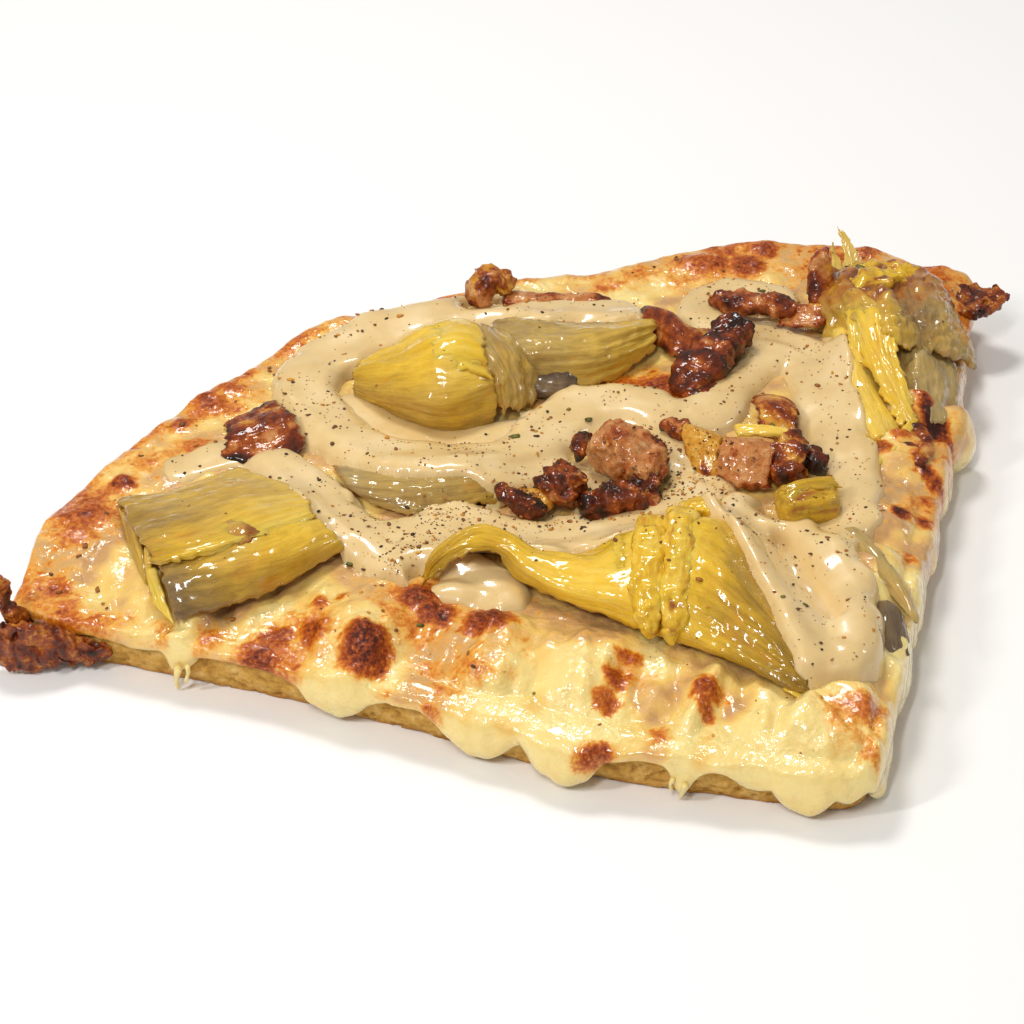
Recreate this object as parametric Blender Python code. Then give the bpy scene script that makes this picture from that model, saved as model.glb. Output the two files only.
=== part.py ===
"""A quarter slice of loaded pizza: a dough base, a melted cheese layer that drips over the cut sides,
artichoke hearts and bacon pieces resting in the cheese, a creamy dressing poured over them in ribbons,
and crisps of burnt cheese at the two outer corners.

The design is laid out in millimetres with the tip of the slice at the origin, +Y running from the tip
to the middle of the outer edge and +Z up. The finished slice is then moved so that the origin is the
bottom centre of its bounding box.
"""

import math

import bmesh
import bpy
import numpy as np
from mathutils import Matrix, Vector
from mathutils.bvhtree import BVHTree

MM = 0.001

# Driving dimensions, in millimetres and degrees
PIZZA_RADIUS = 153.5
HALF_WEDGE = math.radians(43.75)
DOUGH_TOP = 10.0
CHEESE_THICKNESS = 3.0
CHEESE_TOP = DOUGH_TOP + CHEESE_THICKNESS
GAP = 0.3
PAN_TAPER = 2.5

# Where the outer edge swells or falls short: angle from the middle line in degrees, millimetres, width
RIM_SWELLS = (
    (-42.0, -4.0, 4.0),
    (-8.0, 2.5, 4.5),
    (15.0, -3.0, 5.5),
    (27.0, 1.5, 5.0),
    (41.5, -7.0, 4.0),
)

# How the left cut bows outward: distance from the tip, millimetres, width
LEFT_BOW = (48.0, 4.0, 32.0)

# The outline is star-shaped about this point on the slice's middle line
CENTRE_Y = 92.0
CORNER_SHARPNESS = 24.0
AROUND = 112

# Cheese drips on the left cut side: distance from the tip, half width, and how far each reaches down
LEFT_DRIPS = (
    (6.0, 6.5, 10.0),
    (19.0, 5.0, 8.0),
    (29.0, 3.5, 8.5),
    (49.0, 6.5, 12.0),
    (66.0, 8.0, 8.5),
    (87.0, 6.0, 7.5),
    (119.0, 5.0, 6.0),
)
RIGHT_DRIPS = (
    (8.0, 8.0, 10.0),
    (28.0, 9.0, 7.5),
    (46.0, 8.0, 8.5),
    (64.0, 8.0, 7.0),
    (84.0, 10.0, 8.0),
    (108.0, 12.0, 6.5),
)
LIP_REACH = 2.5
LIP_BULGE = 2.0
SURFACE_RINGS = (0.25, 0.5, 0.72, 0.88)


def smooth_path(points, steps):
    """Catmull-Rom curve through the rows of points, sampled at steps rows."""
    rows = np.asarray(points, float)
    padded = np.vstack([2 * rows[0] - rows[1], rows, 2 * rows[-1] - rows[-2]])
    at = np.linspace(0, len(rows) - 1, steps)
    span = np.minimum(at.astype(int), len(rows) - 2)
    t = (at - span)[:, None]
    a, b, c, d = (padded[span + k] for k in range(4))
    return 0.5 * (2 * b + (c - a) * t + (2 * a - 5 * b + 4 * c - d) * t**2 + (3 * b - a - 3 * c + d) * t**3)


def rim_swell(x, y):
    """How far the outer edge stands out from its circle: a sum of bell curves over the angle."""
    angle = np.degrees(np.arctan2(x, y))
    return sum(size * np.exp(-(((angle - place) / width) ** 2)) for place, size, width in RIM_SWELLS)


def left_bow(dx, dy, to_side):
    """How far the left cut stands out in direction (dx, dy) from the centre point: a bell curve over
    the distance from the tip at which that direction meets the straight cut."""
    reach = to_side / np.clip(-dx * math.cos(HALF_WEDGE) - dy * math.sin(HALF_WEDGE), 1e-6, None)
    from_tip = -reach * dx * math.sin(HALF_WEDGE) + (CENTRE_Y + reach * dy) * math.cos(HALF_WEDGE)
    place, size, width = LEFT_BOW
    return size * np.exp(-(((from_tip - place) / width) ** 2))


def outline_radius(phi):
    """Distance from the centre point to the slice's edge in direction phi: a smooth minimum of the
    distances to the two cut sides and to the uneven circle of the outer edge."""
    dx, dy = np.cos(phi), np.sin(phi)
    to_side = CENTRE_Y * math.sin(HALF_WEDGE)
    left = np.clip(-dx * math.cos(HALF_WEDGE) - dy * math.sin(HALF_WEDGE), 1e-6, None)
    left /= to_side + left_bow(dx, dy, to_side)
    right = np.clip(dx * math.cos(HALF_WEDGE) - dy * math.sin(HALF_WEDGE), 1e-6, None) / to_side
    along = CENTRE_Y * dy
    to_arc = np.sqrt(along**2 + PIZZA_RADIUS**2 - CENTRE_Y**2) - along
    arc = 1 / (to_arc + rim_swell(to_arc * dx, CENTRE_Y + to_arc * dy))
    total = left**CORNER_SHARPNESS + right**CORNER_SHARPNESS + arc**CORNER_SHARPNESS
    return total ** (-1 / CORNER_SHARPNESS)


def even_directions(count):
    """Directions round the centre whose outline points are evenly spaced along the outline."""
    phi = np.linspace(-math.pi / 2, 1.5 * math.pi, 2001)
    radius = outline_radius(phi)
    x, y = radius * np.cos(phi), radius * np.sin(phi)
    length = np.concatenate([[0], np.cumsum(np.hypot(np.diff(x), np.diff(y)))])
    return np.interp(np.linspace(0, length[-1], count, endpoint=False), length, phi)


DIRECTIONS = even_directions(AROUND)
EDGE_RADIUS = outline_radius(DIRECTIONS)


def ring(scale, outward, z):
    """One closed ring of points: the outline scaled about its centre, then moved outward, at height z."""
    radius = EDGE_RADIUS * scale + outward
    x = radius * np.cos(DIRECTIONS)
    y = CENTRE_Y + radius * np.sin(DIRECTIONS)
    return np.stack([x, y, np.broadcast_to(z, x.shape)], axis=1)


def side_shares():
    """How much each outline point belongs to the left cut, the right cut and the outer edge."""
    x, y = EDGE_RADIUS * np.cos(DIRECTIONS), CENTRE_Y + EDGE_RADIUS * np.sin(DIRECTIONS)
    outer = 1 / (1 + np.exp(-(np.hypot(x, y) - PIZZA_RADIUS + 6.0) / 1.5))
    right = 1 / (1 + np.exp(-x / 1.5))
    return (1 - right) * (1 - outer), right * (1 - outer), outer, np.hypot(x, y)


def cheese_surface(x, y):
    """Height of the melted cheese: a level layer with slow swells where it pooled and set."""
    swell = 0.45 * np.sin(x / 9.0 + 1.0) * np.cos(y / 11.0)
    ripple = 0.3 * np.sin((x + 1.6 * y) / 7.0)
    return CHEESE_TOP + swell + ripple


def new_object(name, points, faces, finish):
    """A mesh object from points in millimetres, with its own material of that colour and roughness."""
    mesh = bpy.data.meshes.new(name)
    mesh.from_pydata((np.asarray(points) * MM).tolist(), [], faces)
    body = bmesh.new()
    body.from_mesh(mesh)
    bmesh.ops.recalc_face_normals(body, faces=body.faces)
    body.to_mesh(mesh)
    body.free()
    mesh.shade_smooth()
    mesh.set_sharp_from_angle(angle=math.radians(50))
    material = bpy.data.materials.new(name)
    material.use_nodes = True
    shader = material.node_tree.nodes["Principled BSDF"]
    shader.inputs["Base Color"].default_value = (*finish[0], 1)
    shader.inputs["Roughness"].default_value = finish[1]
    mesh.materials.append(material)
    body = bpy.data.objects.new(name, mesh)
    bpy.context.scene.collection.objects.link(body)
    return body


def skin_of_rings(rings):
    """Points and faces of a closed tube of rings, with a fan of triangles closing each end."""
    count = len(rings[0])
    points = np.vstack([*rings, rings[0].mean(axis=0), rings[-1].mean(axis=0)])
    first_centre, last_centre = len(points) - 2, len(points) - 1
    last_ring = (len(rings) - 1) * count
    faces = []
    for k in range(count):
        after = (k + 1) % count
        for low in range(0, last_ring, count):
            faces.append((low + k, low + after, low + count + after, low + count + k))
        faces.append((first_centre, after, k))
        faces.append((last_centre, last_ring + k, last_ring + after))
    return points, faces


def cut(body, cutter):
    """Takes the cutter out of the body."""
    modifier = body.modifiers.new(f"clear_{cutter.name}", "BOOLEAN")
    modifier.operation = "DIFFERENCE"
    modifier.object = cutter


def hide(cutter):
    """Marks an object as a cutter."""
    cutter.hide_render = True
    cutter.display_type = "WIRE"


def make_dough():
    """The bread base: flat underneath, its outer wall sloping like the pan's."""
    outer = side_shares()[2]
    foot = ring(1.0, -0.8 - PAN_TAPER * outer, 0.0)
    belly = ring(1.0, 0.2 - 0.5 * PAN_TAPER * outer, 0.35 * DOUGH_TOP)
    shoulder = ring(1.0, -0.2, DOUGH_TOP)
    return new_object("dough", *skin_of_rings([foot, belly, shoulder]), DOUGH_FINISH)


def drip_reach():
    """How far below the dough's top the cheese reaches at each outline point."""
    left, right, outer, from_tip = side_shares()
    reach = np.full(AROUND, LIP_REACH)
    for share, drips in ((left, LEFT_DRIPS), (right, RIGHT_DRIPS)):
        for place, half_width, depth in drips:
            lobe = np.exp(-(((from_tip - place) / half_width) ** 2) * 1.4)
            reach = np.maximum(reach, LIP_REACH + (depth - LIP_REACH) * share * lobe)
    return np.minimum(reach, DOUGH_TOP - 0.6)


def surface_ring(scale, outward, lift):
    """A ring that lies on the cheese surface, raised by lift."""
    points = ring(scale, outward, 0.0)
    points[:, 2] = cheese_surface(points[:, 0], points[:, 1]) + lift
    return points


def drip_bulge():
    """How far the cheese stands out from the dough at each outline point: long drips are fatter."""
    return LIP_BULGE + 0.16 * (drip_reach() - LIP_REACH)


def make_cheese():
    """The melted layer, whose edge rolls over the dough and hangs in drips with rounded ends."""
    reach, bulge = drip_reach(), drip_bulge()
    under = DOUGH_TOP + GAP
    rings = [surface_ring(scale, 0.0, 0.0) for scale in SURFACE_RINGS]
    rings += [
        surface_ring(1.0, -1.5, -0.3),
        ring(1.0, 0.6 * bulge, CHEESE_TOP - 1.4),
        ring(1.0, bulge, DOUGH_TOP - 0.35 * reach),
        ring(1.0, bulge, DOUGH_TOP - 0.75 * reach),
        ring(1.0, 0.6 * bulge, DOUGH_TOP - reach),
        ring(1.0, 0.2 + GAP, DOUGH_TOP - 0.9 * reach),
        ring(1.0, 0.2 + GAP, under),
    ]
    return new_object("cheese", *skin_of_rings(rings), CHEESE_FINISH)


def make_cheese_cutter():
    """A copy of the cheese grown by the gap, with straight sides far down, that beds the toppings."""
    bulge = drip_bulge()
    rings = [surface_ring(scale, 0.0, GAP) for scale in SURFACE_RINGS]
    rings += [
        surface_ring(1.0, -1.5, GAP - 0.3),
        ring(1.0, 0.6 * bulge + GAP, CHEESE_TOP - 1.4 + GAP),
        ring(1.0, bulge + GAP, DOUGH_TOP),
        ring(1.0, bulge + GAP, -60.0),
    ]
    cutter = new_object("cheese_cutter", *skin_of_rings(rings), CUTTER_FINISH)
    hide(cutter)
    return cutter


def make_topping(name, stations, finish, along, sides, squareness, grow=0.0):
    """A lofted piece. Each station is x, y, z, half width, half height and roll in degrees; the cross
    section is a superellipse square to the path, and both ends close on a small cap."""
    rows = smooth_path(stations, along)
    path, half_width, half_height = rows[:, :3], rows[:, 3] + grow, rows[:, 4] + grow
    roll = np.radians(rows[:, 5])
    tangent = np.gradient(path, axis=0)
    tangent /= np.linalg.norm(tangent, axis=1)[:, None]
    path[0] -= grow * tangent[0]
    path[-1] += grow * tangent[-1]
    side = np.cross(tangent, (0, 0, 1))
    side /= np.linalg.norm(side, axis=1)[:, None]
    up = np.cross(side, tangent)
    across = side * np.cos(roll)[:, None] + up * np.sin(roll)[:, None]
    upward = up * np.cos(roll)[:, None] - side * np.sin(roll)[:, None]
    angle = np.linspace(0, 2 * math.pi, sides, endpoint=False)
    power = 2 / squareness
    wide = np.sign(np.cos(angle)) * np.abs(np.cos(angle)) ** power
    tall = np.sign(np.sin(angle)) * np.abs(np.sin(angle)) ** power
    rings = [
        path[i] + half_width[i] * wide[:, None] * across[i] + half_height[i] * tall[:, None] * upward[i]
        for i in range(along)
    ]
    return new_object(name, *skin_of_rings(rings), finish)


# Stations of each piece: x, y, z, half width, half height, roll
ARTICHOKES = {
    "artichoke_left": (
        (-84.0, 102.0, 15.5, 12.0, 3.5, -14),
        (-80.0, 102.0, 16.0, 15.0, 5.5, -14),
        (-66.0, 102.5, 16.0, 15.5, 5.8, -12),
        (-55.0, 103.0, 15.5, 14.5, 5.0, -10),
        (-51.0, 103.0, 15.0, 11.0, 3.5, -8),
    ),
    "artichoke_heart": (
        (-28.0, 125.0, 15.5, 5.0, 2.5, 0),
        (-24.0, 124.0, 16.0, 8.5, 5.0, -6),
        (-14.0, 121.5, 17.0, 10.5, 8.0, -10),
        (-7.0, 120.5, 17.0, 10.5, 8.5, -10),
        (-3.0, 120.0, 16.0, 8.0, 6.0, -6),
    ),
    "artichoke_back_petal": (
        (2.0, 120.0, 16.0, 8.0, 4.5, -6),
        (10.0, 119.0, 16.5, 9.0, 5.5, -8),
        (20.0, 119.5, 16.0, 8.0, 5.0, -8),
        (29.0, 120.5, 15.5, 5.5, 3.5, -5),
        (33.0, 121.5, 15.5, 3.0, 2.0, 0),
    ),
    "artichoke_flat_petal": (
        (-39.0, 110.0, 14.3, 3.0, 1.2, 0),
        (-34.0, 101.0, 14.5, 4.5, 1.6, 0),
        (-24.0, 94.0, 14.5, 4.8, 1.8, 0),
        (-15.0, 91.5, 14.3, 3.0, 1.2, 0),
    ),
    "artichoke_front": (
        (-8.0, 63.0, 16.0, 13.0, 3.5, 0),
        (-8.5, 58.0, 17.0, 15.5, 6.5, 0),
        (-8.5, 49.0, 17.5, 14.5, 7.5, 0),
        (-6.0, 36.0, 16.5, 10.5, 6.0, 0),
        (-2.5, 23.0, 15.0, 5.5, 3.0, 0),
        (-1.0, 16.0, 14.4, 2.0, 1.2, 0),
    ),
    "artichoke_curl": (
        (-43.0, 73.0, 14.5, 2.6, 0.8, 0),
        (-40.5, 75.0, 17.5, 3.6, 0.9, 0),
        (-36.0, 76.5, 20.5, 4.2, 0.9, 0),
        (-31.5, 75.5, 19.5, 4.0, 0.9, 0),
        (-29.3, 71.5, 17.0, 3.2, 0.9, 0),
    ),
    "artichoke_corner": (
        (64.0, 74.0, 14.8, 3.5, 1.6, 0),
        (68.0, 85.0, 15.5, 6.5, 2.8, 8),
        (73.0, 96.0, 17.0, 9.5, 4.8, 10),
        (79.0, 106.0, 17.5, 9.0, 5.5, 8),
        (83.0, 114.0, 16.0, 5.0, 3.0, 4),
    ),
    "artichoke_stem": (
        (20.5, 54.5, 16.5, 4.4, 4.2, 0),
        (24.5, 56.0, 17.0, 4.8, 4.6, 0),
        (31.0, 58.5, 16.5, 4.6, 4.4, 0),
    ),
    "artichoke_side_petal": (
        (23.0, 27.0, 14.5, 2.5, 1.0, 0),
        (27.0, 34.0, 15.0, 4.5, 1.6, 0),
        (33.0, 44.0, 14.8, 4.0, 1.6, 0),
        (38.0, 52.0, 14.5, 2.5, 1.0, 0),
    ),
}

BACON = {
    "bacon_left": (
        (-57.0, 124.5, 15.0, 3.5, 1.0, 0),
        (-50.0, 127.5, 15.2, 6.0, 1.5, 0),
        (-42.0, 130.0, 15.2, 6.0, 1.4, 0),
    ),
    "bacon_back_curl": (
        (11.5, 145.0, 20.0, 2.5, 2.0, 0),
        (12.5, 143.5, 16.5, 3.6, 2.4, 0),
        (20.0, 139.0, 15.2, 2.6, 1.3, 0),
        (31.0, 132.5, 15.0, 2.2, 1.1, 0),
    ),
    "bacon_centre_lump": (
        (6.5, 77.5, 16.5, 4.0, 3.0, 0),
        (5.0, 82.0, 18.0, 6.2, 5.0, 0),
        (3.5, 89.0, 18.0, 5.8, 4.8, 0),
        (3.0, 92.5, 17.0, 3.5, 3.0, 0),
    ),
    "bacon_centre_crisp": (
        (-3.6, 78.0, 16.0, 2.8, 2.4, 0),
        (-6.5, 82.0, 17.0, 4.0, 3.6, 0),
        (-8.0, 88.0, 16.5, 3.6, 3.0, 0),
    ),
    "bacon_centre_sliver": (
        (-15.0, 80.5, 16.0, 2.4, 2.2, 0),
        (-17.5, 84.5, 17.0, 3.0, 2.8, 0),
        (-20.0, 88.5, 16.0, 2.0, 1.8, 0),
    ),
    "bacon_dark": (
        (27.5, 95.0, 15.8, 4.0, 2.2, 0),
        (33.0, 100.0, 16.5, 6.0, 3.6, 0),
        (40.0, 104.5, 17.5, 5.0, 4.2, 0),
        (46.0, 108.5, 17.5, 3.6, 3.4, 0),
    ),
    "bacon_amber": (
        (34.0, 110.5, 15.2, 3.2, 1.8, 0),
        (36.5, 114.5, 16.0, 5.0, 2.6, 0),
        (37.5, 124.0, 15.8, 3.6, 2.2, 0),
    ),
    "bacon_right_strip": (
        (48.5, 120.5, 16.5, 3.0, 2.0, 0),
        (54.0, 114.5, 17.0, 3.6, 2.2, 0),
        (60.0, 109.0, 16.5, 3.6, 2.0, 0),
    ),
    "bacon_upright": (
        (62.5, 103.5, 15.5, 2.6, 1.8, 20),
        (66.0, 107.5, 20.0, 3.2, 1.5, 30),
        (70.5, 112.0, 24.5, 2.8, 1.2, 35),
        (73.5, 115.5, 27.5, 1.2, 0.7, 35),
    ),
    "bacon_rose": (
        (14.5, 78.0, 15.5, 3.6, 1.8, 0),
        (18.5, 73.0, 16.5, 6.5, 3.2, 0),
        (25.0, 68.5, 16.8, 6.5, 3.4, 0),
        (32.0, 65.5, 16.5, 5.0, 3.0, 0),
    ),
    "bacon_orange": (
        (33.5, 76.0, 15.5, 3.0, 1.8, 0),
        (37.0, 81.5, 16.0, 4.2, 2.3, 0),
        (41.0, 88.5, 15.5, 3.2, 1.8, 0),
    ),
    "bacon_side": (
        (50.5, 59.0, 15.0, 2.2, 1.4, 0),
        (56.0, 65.0, 15.4, 3.4, 1.8, 0),
        (61.5, 71.0, 15.0, 2.4, 1.4, 0),
    ),
}

CRISPS = {
    "crisp_left": (
        (-91.5, 95.0, 3.5, 2.5, 0.8, -80),
        (-97.0, 98.5, 4.5, 3.8, 0.9, -80),
        (-102.5, 100.5, 6.0, 5.6, 1.0, -80),
        (-107.5, 103.5, 6.5, 5.6, 1.0, -80),
        (-110.5, 107.0, 8.0, 2.0, 0.7, -80),
    ),
    "crisp_left_spike": (
        (-104.0, 104.5, 7.0, 3.0, 0.8, 60),
        (-105.5, 106.5, 13.0, 2.6, 0.8, 60),
        (-106.0, 109.0, 19.0, 1.2, 0.6, 60),
    ),
    "crisp_right": (
        (94.5, 103.0, 10.5, 6.0, 0.9, 10),
        (99.0, 101.0, 10.5, 5.5, 1.0, 6),
        (102.0, 99.5, 11.0, 3.0, 0.8, 0),
        (104.5, 98.5, 11.5, 1.2, 0.6, 0),
    ),
}

# The dressing's ribbons: half width, thickness, and the points that each one was poured along
BACK_RIBBON = (
    *((31, 129), (18, 136), (10, 142), (-7, 146), (-17, 145), (-27, 143), (-34, 136), (-35, 126)),
    *((-34, 118), (-30, 108), (-22, 101), (-12, 98), (-2, 101), (6, 107), (13, 109), (16, 104)),
    *((17, 96), (16, 88), (15, 81)),
)
RIGHT_RIBBON = (
    *((19, 92), (30, 93), (38, 99), (44, 102), (50, 104), (55, 101), (56, 93), (55, 84)),
    *((51, 74), (47, 64), (43, 56), (36, 50), (27, 46)),
)
RIBBONS = (
    (6.0, 3.4, BACK_RIBBON),
    (5.5, 3.2, ((-49, 117), (-47, 106), (-46, 96), (-44, 88), (-40, 80))),
    (7.0, 3.0, ((-42, 86), (-30, 83), (-16, 76), (0, 74), (12, 74))),
    (5.0, 2.4, ((-18, 71), (-4, 69), (12, 67))),
    (4.4, 2.4, ((49, 104), (46, 112), (45, 120), (48, 127), (56, 127), (64, 121))),
    (4.8, 2.8, RIGHT_RIBBON),
    (5.0, 3.6, ((9, 66), (7, 56), (5, 44), (3, 30), (3, 20))),
    (5.0, 3.8, ((14, 64), (20, 56), (23, 46), (21, 34), (12, 21))),
)
# Pieces that stand up through the dressing, and how far round each one's path it stays open
STANDING = (
    ("artichoke_curl", 3.9),
    ("bacon_upright", 3.5),
    ("bacon_back_curl", 2.6),
    ("bacon_centre_lump", 6.0),
)
# The dressing's grid spacing, the height of its edge, and how far it is kept off what it lies on
DRESSING_CELL = 3.6
DRESSING_EDGE = 0.8
DRESSING_LIFT = 0.6

# Colours and roughness
DOUGH_FINISH = ((0.62, 0.46, 0.25), 0.85)
CHEESE_FINISH = ((0.86, 0.66, 0.3), 0.4)
ARTICHOKE_FINISH = ((0.52, 0.42, 0.1), 0.45)
BACON_FINISH = ((0.32, 0.1, 0.03), 0.5)
CRISP_FINISH = ((0.35, 0.12, 0.03), 0.6)
DRESSING_FINISH = ((0.83, 0.64, 0.34), 0.3)
CUTTER_FINISH = ((1.0, 0.0, 0.0), 0.5)


def boxes_meet(first, second):
    """Whether the bounding boxes of two objects at the origin overlap."""
    low_a, high_a = np.min(first.bound_box, axis=0), np.max(first.bound_box, axis=0)
    low_b, high_b = np.min(second.bound_box, axis=0), np.max(second.bound_box, axis=0)
    return bool(np.all(low_a < high_b) and np.all(low_b < high_a))


def lay_toppings(cheese_cutter):
    """Beds every topping in the cheese, each one giving way to those laid before it."""
    laid = []
    grown = []
    kinds = (
        (ARTICHOKES, {"finish": ARTICHOKE_FINISH, "along": 11, "sides": 10, "squareness": 2.4}),
        (BACON, {"finish": BACON_FINISH, "along": 9, "sides": 8, "squareness": 2.8}),
        (CRISPS, {"finish": CRISP_FINISH, "along": 8, "sides": 8, "squareness": 2.2}),
    )
    for pieces, shape in kinds:
        for name, stations in pieces.items():
            piece = make_topping(name, stations, **shape)
            cut(piece, cheese_cutter)
            for cutter in grown:
                if boxes_meet(piece, cutter):
                    cut(piece, cutter)
            grown.append(make_topping(f"{name}_cutter", stations, **shape, grow=GAP))
            hide(grown[-1])
            laid.append(piece)
    return laid


def highest_under(trees, x, y, reach):
    """Highest surface under a disc of radius reach round each place, from rays cast straight down."""
    steps = np.linspace(-reach, reach, 7)
    offsets = [(dx, dy) for dx in steps for dy in steps if dx * dx + dy * dy <= 1.1 * reach * reach]
    heights = np.full(len(x), -np.inf)
    for k, place in enumerate(np.stack([x, y], axis=1)):
        for spot in place + offsets:
            start = Vector((spot[0] * MM, spot[1] * MM, 0.1))
            hits = [tree.ray_cast(start, Vector((0, 0, -1)))[0] for tree in trees]
            heights[k] = max([heights[k]] + [hit.z / MM for hit in hits if hit is not None])
    return heights


def distance_to_path(x, y, path):
    """Plan distance from each place to a polyline."""
    nearest = np.full(x.shape, np.inf)
    for start, end in zip(path[:-1], path[1:]):
        run = end - start
        t = np.clip(((x - start[0]) * run[0] + (y - start[1]) * run[1]) / (run @ run), 0, 1)
        nearest = np.minimum(nearest, np.hypot(x - start[0] - t * run[0], y - start[1] - t * run[1]))
    return nearest


def dressing_profile(x, y):
    """How far inside the dressing's edge each place is, and the dressing's thickness there. A ribbon's
    section is a low dome, and where ribbons cross the thicker one shows."""
    inside = np.full(x.shape, -np.inf)
    thickness = np.zeros(x.shape)
    for half_width, height, points in RIBBONS:
        path = smooth_path(points, 6 * len(points))
        off = distance_to_path(x, y, path)
        inside = np.maximum(inside, half_width - off)
        dome = 1 - np.clip(off / half_width, 0, 1) ** 2
        thickness = np.maximum(thickness, height * np.sqrt(dome))
    for name, clear in STANDING:
        path = np.array({**ARTICHOKES, **BACON}[name])[:, :2]
        inside = np.minimum(inside, distance_to_path(x, y, path) - clear)
    return inside, thickness


def block_sum(values):
    """Sum of each cell and the eight round it, counting nothing beyond the border."""
    padded = np.pad(values, 1)
    rows, columns = values.shape
    return sum(padded[i : i + rows, j : j + columns] for i in range(3) for j in range(3))


def levelled(heights, rounds):
    """Heights averaged with their neighbours, that many times, as thick cream levels itself."""
    known = np.isfinite(heights)
    for _ in range(rounds):
        heights = block_sum(np.where(known, heights, 0)) / np.maximum(block_sum(known.astype(float)), 1)
    return heights


def largest_patch(cells):
    """The largest group of cells that touch along their sides."""
    label = np.where(cells, np.arange(1, cells.size + 1).reshape(cells.shape), 0)
    for _ in range(cells.size):
        padded = np.pad(label, 1)
        sides = (padded[:-2, 1:-1], padded[2:, 1:-1], padded[1:-1, :-2], padded[1:-1, 2:], label)
        spread = np.where(cells, np.max(sides, axis=0), 0)
        if np.array_equal(spread, label):
            break
        label = spread
    return label == np.bincount(label[cells]).argmax()


def pull_to_outline(x, y, reach):
    """Places moved along the slope of the dressing's outline function until they lie on the outline."""
    step = 0.2
    for _ in range(3):
        here = dressing_profile(x, y)[0]
        slope_x = (dressing_profile(x + step, y)[0] - here) / step
        slope_y = (dressing_profile(x, y + step)[0] - here) / step
        size = np.maximum(np.hypot(slope_x, slope_y), 0.3)
        move = np.clip(here / size, -reach, reach) / 1.5
        x, y = x - move * slope_x / size, y - move * slope_y / size
    return x, y


def make_dressing(supports):
    """The creamy dressing, poured in ribbons that run together: a closed sheet that lies just above
    whatever is under it. Its grid's edge points are moved onto the ribbons' outline."""
    depsgraph = bpy.context.evaluated_depsgraph_get()
    trees = [BVHTree.FromObject(body, depsgraph) for body in supports]
    across = np.arange(-60.0, 72.0, DRESSING_CELL)
    along = np.arange(10.0, 158.0, DRESSING_CELL)
    x, y = np.meshgrid(across, along, indexing="ij")
    kept = dressing_profile(x, y)[0] > -0.2 * DRESSING_CELL
    cells = largest_patch(kept[:-1, :-1] & kept[1:, :-1] & kept[1:, 1:] & kept[:-1, 1:])
    around = np.zeros(kept.shape, int)
    for i, j in ((0, 0), (1, 0), (1, 1), (0, 1)):
        around[i : i + cells.shape[0], j : j + cells.shape[1]] += cells
    used = around > 0
    edge = used & (around < 4)
    x[edge], y[edge] = pull_to_outline(x[edge], y[edge], DRESSING_CELL)
    bottom = np.full(x.shape, -np.inf)
    bottom[used] = highest_under(trees, x[used], y[used], 1.35 * DRESSING_CELL) + DRESSING_LIFT
    smooth = levelled(levelled(bottom, 2) + dressing_profile(x, y)[1], 1)
    top = np.maximum(smooth, bottom + DRESSING_EDGE)
    index = np.full(used.shape, -1)
    index[used] = np.arange(used.sum())
    count = int(used.sum())
    plan = np.stack([x[used], y[used]], axis=1)
    points = np.vstack([np.column_stack([plan, top[used]]), np.column_stack([plan, bottom[used]])])
    faces = []
    walled = np.pad(cells, 1)
    for i, j in np.argwhere(cells):
        quad = [index[i, j], index[i + 1, j], index[i + 1, j + 1], index[i, j + 1]]
        faces.append(tuple(quad))
        faces.append(tuple(count + k for k in reversed(quad)))
        for (ni, nj), a, b in (((0, -1), 0, 1), ((1, 0), 1, 2), ((0, 1), 2, 3), ((-1, 0), 3, 0)):
            if not walled[i + 1 + ni, j + 1 + nj]:
                faces.append((quad[b], quad[a], count + quad[a], count + quad[b]))
    return new_object("dressing", points, faces, DRESSING_FINISH)


def move_to_reference(bodies):
    """Moves every mesh so that the slice's bounding box stands on the origin at its bottom centre."""
    corners = np.array([corner for body in bodies for corner in body.bound_box])
    low, high = corners.min(axis=0), corners.max(axis=0)
    shift = Vector((-(low[0] + high[0]) / 2, -(low[1] + high[1]) / 2, -low[2]))
    for body in bpy.data.objects:
        body.data.transform(Matrix.Translation(shift))


def main():
    for old in list(bpy.data.objects):
        bpy.data.objects.remove(old)
    dough = make_dough()
    cheese = make_cheese()
    cutter = make_cheese_cutter()
    toppings = lay_toppings(cutter)
    dressing = make_dressing([cheese, *toppings])
    move_to_reference([dough, cheese, dressing, *toppings])


main()
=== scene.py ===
# %% [markdown]
# # A quarter slice of loaded pizza
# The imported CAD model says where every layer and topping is. This file dresses it: each piece is worked
# out again with numpy as a fine surface in the same place, and gets the finish of the real food.
# Lengths are millimetres in the slice's own frame, with the tip at the origin and +Y running to the
# middle of the crust, until the very last step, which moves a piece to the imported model's frame.

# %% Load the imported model
import math

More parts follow.
